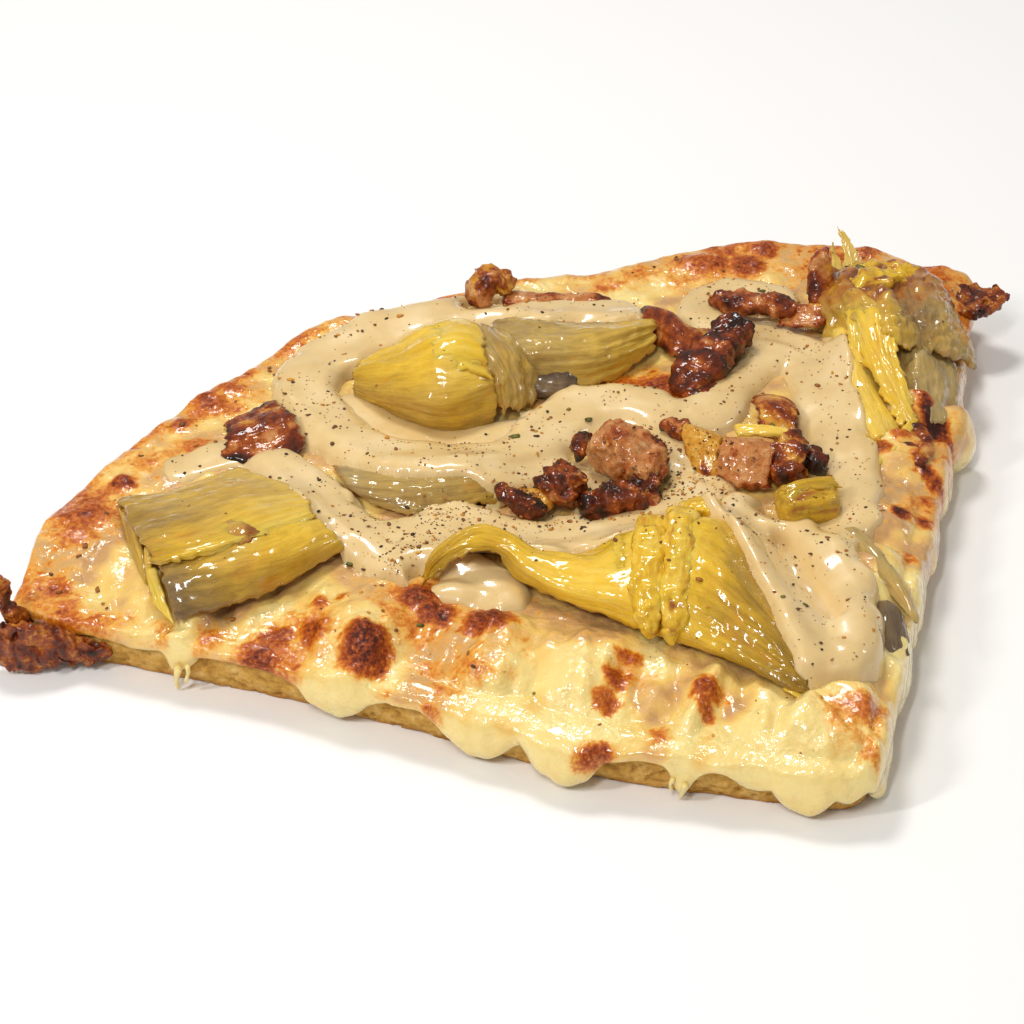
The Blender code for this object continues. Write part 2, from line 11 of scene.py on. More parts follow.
import bpy
import numpy as np
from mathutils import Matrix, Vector


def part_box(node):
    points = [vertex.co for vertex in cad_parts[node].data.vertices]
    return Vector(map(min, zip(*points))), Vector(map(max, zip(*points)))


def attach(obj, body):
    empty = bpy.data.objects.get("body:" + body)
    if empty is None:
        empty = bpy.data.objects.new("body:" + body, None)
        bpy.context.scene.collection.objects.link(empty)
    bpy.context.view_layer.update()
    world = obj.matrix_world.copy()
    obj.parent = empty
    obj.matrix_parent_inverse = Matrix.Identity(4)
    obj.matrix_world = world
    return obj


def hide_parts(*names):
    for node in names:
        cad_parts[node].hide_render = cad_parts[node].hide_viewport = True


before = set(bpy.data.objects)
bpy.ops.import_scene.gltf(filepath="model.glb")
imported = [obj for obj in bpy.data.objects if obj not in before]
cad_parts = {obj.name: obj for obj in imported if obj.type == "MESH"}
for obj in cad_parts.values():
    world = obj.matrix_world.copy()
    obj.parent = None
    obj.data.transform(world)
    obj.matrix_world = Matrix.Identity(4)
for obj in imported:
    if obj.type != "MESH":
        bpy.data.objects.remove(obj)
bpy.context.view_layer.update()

MM = 0.001

# %% [markdown]
# ## The outline of the slice
# The dough is a wedge with two straight cuts, a slightly bowed left one, and an uneven round crust.
# It is star-shaped about a point on its middle line, so one function of direction gives its edge. The
# same formula made the CAD dough, so comparing their corners tells how far the two frames are apart.

# %% The outline as a function of direction
PIZZA_RADIUS = 153.5
HALF_WEDGE = math.radians(43.75)
SIN_WEDGE, COS_WEDGE = math.sin(HALF_WEDGE), math.cos(HALF_WEDGE)
DOUGH_TOP = 10.0
CHEESE_TOP = 13.0
PAN_TAPER = 2.5
CENTRE_Y = 92.0
CORNER_SHARPNESS = 24.0
CRUST_BAND = 6.0
CRUST_FADE = 1.5
# Swells of the crust: angle from the middle line and width in degrees, with how far out between them
RIM_SWELLS = ((-42.0, -4.0, 4.0), (-8.0, 2.5, 4.5), (15.0, -3.0, 5.5), (27.0, 1.5, 5.0), (41.5, -7.0, 4.0))
# The bow of the left cut: its middle's distance from the tip, how far out it goes, and its width
BOW_PLACE, BOW_DEPTH, BOW_WIDTH = 48.0, 4.0, 32.0


def bell(distance, width, power=2):
    """A bell curve: 1 at distance nought, 1/e at one width. A higher power flattens its top."""
    return np.exp(-(np.abs(distance / width) ** power))


def outline_radius(phi):
    """Distance from the centre point to the edge in direction phi: the smooth minimum of the distances
    to the two cuts and to the circle of the crust, each swollen by its own bell curves."""
    dx, dy = np.cos(phi), np.sin(phi)
    to_side = CENTRE_Y * SIN_WEDGE
    left = np.clip(-dx * COS_WEDGE - dy * SIN_WEDGE, 1e-6, None)
    right = np.clip(dx * COS_WEDGE - dy * SIN_WEDGE, 1e-6, None) / to_side
    reach = to_side / left
    from_tip = -reach * dx * SIN_WEDGE + (CENTRE_Y + reach * dy) * COS_WEDGE
    left = left / (to_side + BOW_DEPTH * bell(from_tip - BOW_PLACE, BOW_WIDTH))
    along = CENTRE_Y * dy
    to_arc = np.sqrt(along**2 + PIZZA_RADIUS**2 - CENTRE_Y**2) - along
    angle = np.degrees(np.arctan2(to_arc * dx, CENTRE_Y + to_arc * dy))
    arc = 1 / (to_arc + sum(size * bell(angle - place, width) for place, size, width in RIM_SWELLS))
    total = left**CORNER_SHARPNESS + right**CORNER_SHARPNESS + arc**CORNER_SHARPNESS
    return total ** (-1 / CORNER_SHARPNESS)


def even_directions(count):
    """Directions whose outline points are evenly spaced along the outline."""
    phi = np.linspace(-math.pi / 2, 1.5 * math.pi, 2001)
    x, y = outline_radius(phi) * np.cos(phi), outline_radius(phi) * np.sin(phi)
    length = np.concatenate([[0], np.cumsum(np.hypot(np.diff(x), np.diff(y)))])
    return np.interp(np.linspace(0, length[-1], count, endpoint=False), length, phi)


def outer_share(x, y):
    """How much a place belongs to the crust side: a soft step at 6 mm inside the circle."""
    return 1 / (1 + np.exp(-(np.hypot(x, y) - PIZZA_RADIUS + CRUST_BAND) / CRUST_FADE))


straight_up = np.array(math.pi / 2)
print("tip to crust along the middle line, mm:", round(float(CENTRE_Y + outline_radius(straight_up)), 1))

# %% How far the slice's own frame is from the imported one
CAD_AROUND = 112


def frame_shift():
    """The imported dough's lowest corner less that of the dough's belly ring in the slice's frame. The
    ring has as many points as the CAD one, and runs 0.2 mm outside the outline, less on the crust."""
    phi = even_directions(CAD_AROUND)
    radius = outline_radius(phi)
    outer = outer_share(radius * np.cos(phi), CENTRE_Y + radius * np.sin(phi))
    rings = [radius + 0.2 - 0.5 * PAN_TAPER * outer, radius - 0.2]
    low_x = min(np.min(r * np.cos(phi)) for r in rings)
    low_y = min(np.min(CENTRE_Y + r * np.sin(phi)) for r in rings)
    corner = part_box("dough")[0]
    return np.array([corner[0] / MM - low_x, corner[1] / MM - low_y, corner[2] / MM])


SHIFT = frame_shift()
print("shift to the packed frame, mm:", np.round(SHIFT, 3))

# %% [markdown]
# ## Camera and light
# The slice is looked at from 37.5 degrees above, 30 degrees round to its left cut, from half a metre.
# The light is a food table's: a large soft lamp high up behind the slice, weaker ones at both sides, a
# narrow one above and left of the camera that draws white glints on everything oily, and a pale room
# that fills the shadows.

# %% Camera
def to_frame(point):
    """A point of the slice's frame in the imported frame's metres."""
    return (np.asarray(point, float) + SHIFT) * MM


def aim(body, spot, target):
    """Puts an object at spot and turns its -Z axis to the target."""
    spot, target = Vector(to_frame(spot)), Vector(to_frame(target))
    body.location = spot
    body.rotation_euler = (target - spot).to_track_quat("-Z", "Y").to_euler()


CAMERA_DISTANCE = 500.0
CAMERA_HEIGHT = math.radians(37.5)
CAMERA_TURN = math.radians(29.7)
CAMERA_LENS = 93.94
CAMERA_SENSOR = 36.0
TARGET = np.array([-9.3, 99.9, 0.0])


def from_target(turn, height, distance):
    """The spot that far from the target, turned from -Y towards -X and raised by those angles."""
    level = math.cos(height)
    return TARGET + distance * np.array([-math.sin(turn) * level, -math.cos(turn) * level, math.sin(height)])


camera = bpy.data.objects.new("camera", bpy.data.cameras.new("camera"))
camera.data.sensor_width = CAMERA_SENSOR
camera.data.lens = CAMERA_LENS
camera.data.clip_start = 0.05
camera.data.clip_end = 20.0
bpy.context.scene.collection.objects.link(camera)
aim(camera, from_target(CAMERA_TURN, CAMERA_HEIGHT, CAMERA_DISTANCE), TARGET)
bpy.context.scene.camera = camera
print("camera: lens", CAMERA_LENS, "mm, distance", CAMERA_DISTANCE, "mm")

# %% Lamps
def lamp(name, turn, height, distance, width, depth, watts, warmth):
    """A soft rectangular lamp at those angles from the target, facing it. Warmth tints it to yellow."""
    light = bpy.data.lights.new(name, "AREA")
    light.shape = "RECTANGLE"
    light.size, light.size_y = width * MM, depth * MM
    light.energy = watts
    light.color = (1.0, 1.0 - 0.5 * warmth, 1.0 - warmth)
    body = bpy.data.objects.new(name, light)
    bpy.context.scene.collection.objects.link(body)
    aim(body, from_target(math.radians(turn), math.radians(height), distance), TARGET)


lamp("lamp_above", 190.0, 66.0, 700.0, 180.0, 130.0, 2.2, 0.04)
lamp("lamp_left", 88.0, 42.0, 750.0, 60.0, 150.0, 1.6, 0.02)
lamp("lamp_right", -65.0, 32.0, 800.0, 60.0, 160.0, 0.35, 0.0)
lamp("lamp_front", 44.0, 54.0, 700.0, 46.0, 170.0, 1.25, 0.0)


# %% [markdown]
# ## Colour and nodes
# Colours are written as they are seen on a screen and turned to the linear values that light is added
# up in. One small function adds a shader node with its settings and its links, so a material reads as
# a list of what it is made of.

# %% Helpers for colours and shader nodes
def linear(colour):
    """An sRGB hex colour as linear red, green, blue and an alpha of 1."""
    values = np.array([int(colour[k : k + 2], 16) for k in (1, 3, 5)]) / 255
    values = np.where(values <= 0.04045, values / 12.92, ((values + 0.055) / 1.055) ** 2.4)
    return (*values, 1.0)


def add(tree, kind, *links, stops=(), out=0, **settings):
    """Adds a shader node and gives one of its outputs. The links fill its first inputs in order. A
    setting that is a property of the node is set as one, and any other fills the socket of its name.
    Stops are the places and hex colours of a colour ramp."""
    made = tree.nodes.new("ShaderNode" + kind)
    for name in [name for name in settings if hasattr(made, name)]:
        setattr(made, name, settings.pop(name))
    sockets = dict(enumerate(links)) | {name.replace("_", " "): value for name, value in settings.items()}
    for key, value in sockets.items():
        if isinstance(value, bpy.types.NodeSocket):
            tree.links.new(value, made.inputs[key])
        else:
            made.inputs[key].default_value = value
    for place, colour in stops[2:]:
        made.color_ramp.elements.new(place)
    for k, (place, colour) in enumerate(sorted(stops)):
        made.color_ramp.elements[k].position = place
        made.color_ramp.elements[k].color = linear(colour)
    return made.outputs[out]


def new_material(name, make):
    """A material whose shader is built by make, a function of its empty node tree."""
    material = bpy.data.materials.new(name)
    material.use_nodes = True
    tree = material.node_tree
    tree.nodes.clear()
    surface = make(tree)
    tree.links.new(surface, tree.nodes.new("ShaderNodeOutputMaterial").inputs["Surface"])
    print(f"{name}: {len(tree.nodes)} shader nodes")
    return material


# %% Floor and room
def white_table_paper(tree):
    """Matt white paper: pale, with a tooth that is barely seen, so that the slice's shadow stays soft."""
    where = add(tree, "TexCoord", out="Object")
    tooth = add(tree, "TexNoise", where, Scale=1000 / 4.0)
    normal = add(tree, "Bump", Height=tooth, Distance=0.05 * MM)
    return add(tree, "BsdfPrincipled", linear("#F6F5F3"), Roughness=0.9, Normal=normal)


FLOOR_HALF = 3.0
ROOM_STRENGTH = 0.34
floor_corners = [(FLOOR_HALF * x, FLOOR_HALF * y, 0) for x, y in ((-1, -1), (1, -1), (1, 1), (-1, 1))]
floor_mesh = bpy.data.meshes.new("floor")
floor_mesh.from_pydata(floor_corners, [], [(0, 1, 2, 3)])
floor_mesh.materials.append(new_material("white_table_paper", white_table_paper))
floor = bpy.data.objects.new("floor", floor_mesh)
bpy.context.scene.collection.objects.link(floor)

world = bpy.data.worlds.new("pale_room")
world.use_nodes = True
world.node_tree.nodes["Background"].inputs["Color"].default_value = linear("#FBFAF8")
world.node_tree.nodes["Background"].inputs["Strength"].default_value = ROOM_STRENGTH
bpy.context.scene.world = world
bpy.context.scene.view_settings.view_transform = "Standard"
print("floor and room are ready")


# %% [markdown]
# ## Noise and smooth paths
# Baked food is uneven at every size. Gradient noise gives that: random slopes on a grid of points,
# blended smoothly between them, and added up at halved sizes. It is computed for whole arrays at once.

# %% Gradient noise and smooth curves
TABLE_SIZE = 256
SEED_STEP = 17.31
NOISE_GAIN = 1.6
noise_source = np.random.default_rng(7)
SHUFFLE = noise_source.permutation(TABLE_SIZE)
SLOPES = noise_source.normal(size=(TABLE_SIZE, 3))
SLOPES /= np.linalg.norm(SLOPES, axis=1)[:, None]


def noise(points, size, seed=0):
    """Gradient noise in about -1 to 1 with waves size mm long: at each of the eight grid corners round
    a point the corner's slope times the offset to it, blended with the quintic fade."""
    place = np.asarray(points, float) / size + seed * SEED_STEP
    cell = np.floor(place).astype(int)
    offset = place - cell
    fade = offset**3 * (offset * (offset * 6 - 15) + 10)
    total = np.zeros(place.shape[:-1])
    for corner in np.ndindex(2, 2, 2):
        at = cell + corner
        slot = SHUFFLE[at[..., 0] % TABLE_SIZE]
        slot = SHUFFLE[(slot + at[..., 1]) % TABLE_SIZE]
        slot = SHUFFLE[(slot + at[..., 2]) % TABLE_SIZE]
        weight = np.prod(np.where(corner, fade, 1 - fade), axis=-1)
        total += weight * np.sum(SLOPES[slot] * (offset - corner), axis=-1)
    return NOISE_GAIN * total


def rough(points, size, octaves=3, seed=0, keep=0.5):
    """Noise added up over octaves, each half as long and keep times as high."""
    return sum(keep**k * noise(points, size / 2**k, seed + k) for k in range(octaves))


def flat(x, y, z=0.0):
    """Three coordinate arrays stacked into points."""
    return np.stack(np.broadcast_arrays(x, y, z), axis=-1).astype(float)


def smooth_path(rows, steps):
    """Catmull-Rom curve through the rows, sampled at steps rows. Rows may be points or whole curves."""
    rows = np.asarray(rows, float)
    padded = np.concatenate([2 * rows[:1] - rows[1:2], rows, 2 * rows[-1:] - rows[-2:-1]])
    at = np.linspace(0, len(rows) - 1, steps)
    span = np.minimum(at.astype(int), len(rows) - 2)
    t = (at - span).reshape(-1, *[1] * (rows.ndim - 1))
    a, b, c, d = (padded[span + k] for k in range(4))
    return 0.5 * (2 * b + (c - a) * t + (2 * a - 5 * b + 4 * c - d) * t**2 + (3 * b - a - 3 * c + d) * t**3)


def smooth_step(low, high, value):
    """0 below low, 1 above high, and an S curve between."""
    t = np.clip((value - low) / (high - low), 0, 1)
    return t * t * (3 - 2 * t)


# %% [markdown]
# ## From arrays to mesh
# Nearly every piece is a skin of rings: a closed ring of points carried along, with its two ends shut
# by a ladder of faces across the ring. The skin's signed volume says whether it faces outwards.

# %% Skins and objects
def skin_faces(rows, columns):
    """Quads of a tube of rows rings with an even number of columns, and ladders that close its ends."""
    low = np.arange(rows - 1)[:, None] * columns
    here = np.arange(columns)[None, :]
    after = (here + 1) % columns
    wall = np.stack([low + here, low + after, low + columns + after, low + columns + here], axis=-1)
    step = np.arange(columns // 2 - 1)
    ladder = np.stack([step, columns - 1 - step, columns - 2 - step, step + 1], axis=-1)
    return np.concatenate([wall.reshape(-1, 4), ladder, ladder[:, ::-1] + (rows - 1) * columns])


def facing_out(points, quads):
    """The quads, turned over if the signed volume that they enclose is negative."""
    a, b, c, d = (points[quads[:, k]] for k in range(4))
    volume = np.sum(a * np.cross(b, c)) + np.sum(a * np.cross(c, d))
    return quads if volume > 0 else quads[:, ::-1]


def skin(rings):
    """Points and outward quads of one closed tube of rings, an array of rows by columns by three."""
    rows, columns = rings.shape[:2]
    points = rings.reshape(-1, 3)
    return points, facing_out(points, skin_faces(rows, columns))


def joined(parts):
    """Several (points, quads, values) parts as one, where values maps a name to a number per point."""
    points, quads, values, start = [], [], {}, 0
    for part_points, part_quads, part_values in parts:
        points.append(part_points)
        quads.append(part_quads + start)
        start += len(part_points)
        for name, value in part_values.items():
            values.setdefault(name, []).append(value)
    return np.concatenate(points), np.concatenate(quads), {k: np.concatenate(v) for k, v in values.items()}


# %% A finished piece
# The points of each finished piece in millimetres, for what is laid on it later
SHOWN = {}


def new_piece(name, points, quads, values, material, slot, *replaced):
    """A smooth-shaded object from points in millimetres, its faces and its vertex attributes, riding on
    the slice in place of the CAD nodes that it replaces."""
    mesh = bpy.data.meshes.new(name)
    mesh.vertices.add(len(points))
    mesh.vertices.foreach_set("co", ((points + SHIFT) * MM).astype(np.float32).ravel())
    sides = quads.shape[1]
    mesh.loops.add(quads.size)
    mesh.loops.foreach_set("vertex_index", quads.astype(np.int32).ravel())
    mesh.polygons.add(len(quads))
    mesh.polygons.foreach_set("loop_start", np.arange(0, quads.size, sides, dtype=np.int32))
    mesh.update(calc_edges=True)
    mesh.validate()
    for key, value in values.items():
        kind = "FLOAT_VECTOR" if value.ndim == 2 else "FLOAT"
        field = "vector" if value.ndim == 2 else "value"
        mesh.attributes.new(key, kind, "POINT").data.foreach_set(field, value.astype(np.float32).ravel())
    mesh.shade_smooth()
    mesh.materials.append(material)
    piece = bpy.data.objects.new(name, mesh)
    bpy.context.scene.collection.objects.link(piece)
    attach(piece, "root")
    if replaced:
        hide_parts(*replaced)
    SHOWN[name] = points
    print(f"{name}: {len(points)} points, {len(quads) * (sides - 2)} triangles")


# %% [markdown]
# ## The melted cheese
# Cheese melts flat, pools, blisters and browns in the oven, then folds over each cut as the slice is
# lifted away. It could be a simulated fluid, but then its drips would fall where they like. So its
# height is a sum: a level layer, a rounded shoulder and folds towards the cuts, tongues that lead into
# the drips, blisters that puffed up, and noise at three sizes. Browning is worked out from the same
# places and kept as a vertex attribute, so that colour and shape agree.

# %% Where the cheese drips, swells and blisters
# Drips on each cut: distance from the tip, half width, how far below the dough's top they reach, and
# how far they stand out. LONGEST_REACH keeps every drip just off the table.
LEFT_DRIPS = (
    (3, 4.5, 7.5, 2.2),
    (11, 5.8, 9.2, 3.6),
    (19, 3.4, 6, 2.2),
    (30.3, 2, 8.6, 2),
    (50, 6.4, 9.4, 5),
    (65, 6.4, 9, 3.2),
    (90, 6.4, 8.6, 3.2),
    (118.5, 2.6, 6.5, 2.4),
    (126, 7, 3.6, 2),
)
RIGHT_DRIPS = (
    (8, 8, 10, 3.2),
    (28, 9, 7.8, 3.4),
    (46, 8, 8.8, 3),
    (64, 8, 7.4, 3.4),
    (82, 8, 8.4, 3.6),
    (96.5, 5, 9.2, 7),
    (108, 12, 7, 3),
)
LIP_REACH = 2.5
LIP_BULGE = 2.0
LONGEST_REACH = 9.5

# Blisters: place, radius, height, and how dark the middle is
BLISTERS = (
    (-96, 108, 3, 0.7, 0.6),
    (-97.5, 96, 2.6, 0.6, 0.7),
    (-73, 74.5, 3.6, 1, 0.86),
    (-68.5, 77, 2.8, 0.8, 0.8),
    (-63, 73.5, 3, 1, 0.8),
    (-58, 64.5, 4.2, 1.3, 1),
    (-59, 79, 1.6, 0.5, 0.6),
    (-55, 78, 1.3, 0.4, 0.5),
    (-44, 71.5, 3.9, 1.1, 0.95),
    (-43.5, 66.5, 3.3, 1, 0.9),
    (-37.5, 71.5, 3.1, 0.7, 0.95),
    (-37, 60, 4.2, 1.2, 0.95),
    (-50, 57, 2.4, 0.3, 0.35),
    (-55, 48, 2.6, 0.3, 0.5),
    (-36.5, 25, 3.6, 0.9, 0.85),
    (-25, 24, 2.2, 0.3, 0.4),
    (-14, 27, 2.6, 0.5, 0.75),
    (-16, 24, 2, 0.4, 0.6),
    (-29, 34, 2.2, 0.4, 0.6),
    (-25, 37, 2.4, 0.5, 0.75),
    (-21, 40, 2, 0.4, 0.6),
    (5, 9, 3.4, 0.4, 0.5),
    (1, 2, 2, 0.2, 0.35),
    (-33, 105, 2.6, 0.4, 0.6),
    (-37.5, 103.5, 2.2, 0.3, 0.7),
    (59, 69.5, 2.8, 0.6, 0.5),
    (55, 67.5, 2.4, 0.5, 0.6),
    (49, 66, 2.2, 0.6, 0.85),
    (49.5, 51.5, 2.2, 0.4, 0.5),
    (35, 38.5, 1.8, 0.4, 0.45),
    (25, 104, 5, 0.6, 0.85),
    (29, 98, 3.4, 0.5, 0.8),
    (20, 109, 3.4, 0.4, 0.6),
    (-75, 128, 2.4, 0.6, 0.95),
    (-85, 122, 5.5, 0.9, 0.62),
    (-88, 117, 3.4, 0.6, 0.5),
    (-58, 139, 2.6, 0.5, 0.75),
    (-51, 142.5, 3.6, 0.7, 0.7),
    (-45, 144, 2.4, 0.5, 0.6),
    (-59, 131, 3, 0.4, 0.5),
    (64, 132, 3.6, 0.7, 0.85),
    (56, 137, 4, 0.6, 0.62),
    (70, 135, 3, 0.6, 0.75),
    (88, 124, 3, 0.6, 0.6),
    (95, 112, 3, 0.5, 0.6),
)
# Browned stretches without a blister: place, half widths along x and y, and strength
SCORCHES = (
    (-98, 104, 5, 12, 0.4),
    (-85, 122, 8, 7, 0.46),
    (-66, 132, 10, 4, 0.3),
    (-49, 141, 8, 5, 0.42),
    (-30, 152, 12, 3, 0.24),
    (26, 104, 7, 8, 0.42),
    (41, 141, 12, 4, 0.3),
    (60, 138, 13, 7, 0.48),
    (82, 126, 12, 8, 0.4),
    (95, 110, 5, 9, 0.36),
    (60, 66, 8, 9, 0.32),
    (63.8, 68.6, 1.8, 5.6, 1.2),
    (53.8, 57.6, 1.7, 4.6, 1.15),
    (45, 46.8, 2.2, 2, 1.1),
    (41, 49, 1.8, 1.9, 1.1),
    (46, 50, 6, 5, 0.3),
    (-19, 148, 8, 4, 0.75),
    (-81, 126, 7, 4, 0.5),
    (62, 138, 7, 4, 0.5),
    (-43, 69, 10, 9, 0.4),
    (-68, 74, 11, 7, 0.36),
    (-45, 52, 12, 6, 0.2),
    (4, 9, 6, 7, 0.34),
    (-24, 36, 9, 5, 0.12),
)

# Thick, pale stretches: place, half widths along x and y, and strength, below nought where it is thin
PALE_STRETCHES = (
    (-70, 81, 13, 4.5, 0.8),
    (-91, 99, 6, 9, 0.25),
    (-24, 50, 9, 5, -0.4),
    (-8, 32, 6, 5, -0.35),
    (-46, 60, 5, 5, -0.3),
    (-60, 60, 7, 6, 0.4),
    (-44, 40, 7, 6, 0.6),
    (-12, 12, 9, 8, 0.5),
    (-66, 125, 12, 5, 0.4),
    (20, 147, 30, 4, 0.5),
    (42, 138, 14, 5, 0.5),
)
print("drips:", len(LEFT_DRIPS) + len(RIGHT_DRIPS), "blisters:", len(BLISTERS))


# %% Distances from the cuts, and the tongues that run into the drips
def edge_places(x, y):
    """Distance inside the left cut, distance along it from the tip, and the same two for the right."""
    return (
        x * COS_WEDGE + y * SIN_WEDGE,
        -x * SIN_WEDGE + y * COS_WEDGE,
        -x * COS_WEDGE + y * SIN_WEDGE,
        x * SIN_WEDGE + y * COS_WEDGE,
    )


def inside_distance(x, y):
    """Distance inside the outline, measured along the ray from the centre point."""
    phi = np.arctan2(y - CENTRE_Y, x)
    return outline_radius(phi) - np.hypot(x, y - CENTRE_Y)


def tongues(x, y):
    """How strongly each place lies on a tongue of cheese that runs into a drip: a bell curve along the
    cut for each drip, which starts 22 mm inside the cut and is full at 4 mm. The highest one counts."""
    left_in, left_along, right_in, right_along = edge_places(x, y)
    wander = 2.2 * noise(flat(x, y), 9.0, 3)
    total = np.zeros(np.shape(x))
    for inside, along, drips in ((left_in, left_along, LEFT_DRIPS), (right_in, right_along, RIGHT_DRIPS)):
        for place, half_width, reach, _ in drips:
            ridge = bell(along - place + wander * smooth_step(0, 9, inside), half_width, 2.6)
            total = np.maximum(total, ridge * (reach / 10.0) * (1 - smooth_step(4, 22, inside)))
    return total


# %% Where the cheese is browned
def browning(x, y):
    """How browned the cheese is, 0 to about 1.2: a bell for each blister that darkens in its middle, a
    broad bell for each scorch, broken up by noise."""
    warp = flat(x, y)
    wx = x + 1.1 * noise(warp, 3.1, 11) + 0.5 * noise(warp, 1.3, 12)
    wy = y + 1.1 * noise(warp, 3.1, 13) + 0.5 * noise(warp, 1.3, 14)
    spots = np.zeros(np.shape(x))
    for px, py, radius, _, dark in BLISTERS:
        away = np.hypot(wx - px, wy - py) / radius
        spots = np.maximum(spots, 0.82 * dark * (1.0 - 0.35 * away**2) * (1 - smooth_step(0.6, 1.7, away)))
    scorch = np.zeros(np.shape(x))
    for px, py, rx, ry, strength in SCORCHES:
        scorch = np.maximum(scorch, strength * bell(np.hypot((wx - px) / rx, (wy - py) / ry), 1.0))
    scorch = scorch * (1.0 + 0.75 * rough(warp, 4.5, 3, 15)) + 0.12 * np.clip(noise(warp, 2.4, 16), 0, 1)
    rim = 0.24 * (1 - smooth_step(0.5, 4.0, inside_distance(x, y))) * outer_share(x * 1.06, y * 1.06)
    rim = rim * (1 + 1.1 * noise(warp, 8.0, 17))
    return np.clip(np.maximum(np.maximum(spots, 0.85 * scorch), rim), 0, 1.2)


# %% The height of the cheese
def cheese_height(x, y):
    """Height of the cheese's top: the level layer less the shoulder, plus tongues and folds near the
    cuts, blisters, noise, and two swells of the rim. It never sinks into the dough."""
    here = flat(x, y)
    level = CHEESE_TOP + 0.45 * np.sin(x / 9.0 + 1.0) * np.cos(y / 11.0) + 0.3 * np.sin((x + 1.6 * y) / 7.0)
    left_in, left_along, right_in, right_along = edge_places(x, y)
    rounded = 3.6 * (1 - smooth_step(-3.0, 16.0, left_in)) + 2.2 * (1 - smooth_step(-2.0, 9.0, right_in))
    near = np.minimum(left_in, right_in)
    tongue = tongues(x, y)
    ridge = 4.3 * tongue * smooth_step(-2.5, 4.0, near)
    along = np.where(left_in < right_in, left_along, right_along + 70)
    folds = noise(flat(along, 0.32 * near), 4.6, 26) + 0.6 * noise(flat(along, 0.32 * near), 2.3, 27)
    ridge = ridge + 1.25 * folds * (1 - smooth_step(9, 24, near)) * smooth_step(-2.5, 2.0, near)
    domes = np.zeros(np.shape(x))
    for px, py, radius, height, _ in BLISTERS:
        away = np.hypot(x - px, y - py) / radius + 0.14 * noise(here, 2.0, 21)
        domes = np.maximum(domes, height * (1 - smooth_step(0.35, 1.25, away)))
    lumps = 0.42 * noise(here, 8.0, 22) + 0.34 * noise(here, 3.6, 23) + 0.15 * noise(here, 1.7, 24)
    crisp = 0.16 * noise(here, 1.2, 25) * np.clip(browning(x, y), 0, 1)
    angle, inside = np.degrees(np.arctan2(x, y)), inside_distance(x, y)
    rim = 1.5 * bell(angle + 8.0, 5.0) * (1 - smooth_step(0, 9, inside))
    rim += 1.3 * bell(angle - 31.0, 9.0) * (1 - smooth_step(0, 12, inside))
    thinnest = DOUGH_TOP + 0.7 + 0.3 * noise(here, 4.0, 28)
    return np.maximum(level - rounded + ridge + domes + lumps + crisp + rim, thinnest)


# %% The cheese as one closed skin
CHEESE_AROUND = 880
CHEESE_RINGS = 84
SKIRT_STEPS = 22
cheese_directions = even_directions(CHEESE_AROUND)
cheese_edge = outline_radius(cheese_directions)


def hanging(x, y):
    """For places on the outline: how far down the cheese reaches and how far it stands out there, as
    the most of the plain lip and a bell curve for each drip."""
    _, left_along, _, right_along = edge_places(x, y)
    outer = outer_share(x, y)
    right = 1 / (1 + np.exp(-x / 1.5))
    here = flat(x, y)
    reach = LIP_REACH + 0.9 * noise(here, 6.0, 31) + 0.5 * noise(here, 2.2, 32)
    reach = reach + outer * 0.8
    bulge = np.full(x.shape, LIP_BULGE)
    for share, along, drips in (((1 - right) * (1 - outer), left_along, LEFT_DRIPS),
                                (right * (1 - outer), right_along, RIGHT_DRIPS)):
        for place, half_width, depth, out in drips:
            lobe = bell(along - place + 0.8 * noise(here, 3.0, 33), half_width, 2.3)
            reach = np.maximum(reach, LIP_REACH + (depth - LIP_REACH) * share * lobe)
            bulge = np.maximum(bulge, LIP_BULGE + (out - LIP_BULGE) * share * lobe)
    return np.clip(reach, 1.2, LONGEST_REACH), bulge


def cheese_rings():
    """The rings: the top surface from the middle outwards, closer together near the edge, then the lip
    that rolls over and hangs, and its inner side back up to the dough's top."""
    cosine, sine = np.cos(cheese_directions), np.sin(cheese_directions)
    share = 1 - (1 - np.linspace(0.02, 1, CHEESE_RINGS)) ** 1.55
    radius = share[:, None] * (cheese_edge - 1.2)
    x, y = radius * cosine, CENTRE_Y + radius * sine
    top = flat(x, y, cheese_height(x, y))
    reach, bulge = hanging(cheese_edge * cosine, CENTRE_Y + cheese_edge * sine)
    brim = top[-1, :, 2]
    # Distance outside the outline, and height, at each station of the lip
    stations = np.array([
        [-1.2 + 0 * reach, brim],
        [0.62 * bulge, brim - 0.8],
        [bulge, np.maximum(DOUGH_TOP - 0.30 * reach, 0.4)],
        [0.95 * bulge, DOUGH_TOP - 0.78 * reach],
        [0.55 * bulge, DOUGH_TOP - reach],
        [0.15 + 0 * reach, DOUGH_TOP - 0.93 * reach],
        [-0.4 + 0 * reach, DOUGH_TOP - 0.6 * reach],
    ])
    lip = smooth_path(stations, SKIRT_STEPS)[1:]
    x = (cheese_edge + lip[:, 0]) * cosine
    y = CENTRE_Y + (cheese_edge + lip[:, 0]) * sine
    folds = np.sin(np.linspace(0, math.pi, len(lip)))[:, None]
    here = flat(x, y, lip[:, 1])
    puff = folds * (0.55 * noise(here, 5.0, 34) + 0.30 * noise(here * (1, 1, 0.35), 2.0, 35))
    x, y = x + puff * cosine, y + puff * sine
    hung = flat(x, y, np.maximum(lip[:, 1], 0.35))
    closing = np.stack([flat((cheese_edge - 0.8) * cosine * f, CENTRE_Y + (cheese_edge - 0.8) * sine * f,
                             DOUGH_TOP - 0.1) for f in (1.0, 0.5, 0.02)])
    return np.concatenate([top, hung, closing]), reach


rings, cheese_reach = cheese_rings()
cheese_points, cheese_quads = skin(rings)
print("cheese spans z", cheese_points[:, 2].min().round(2), cheese_points[:, 2].max().round(2))


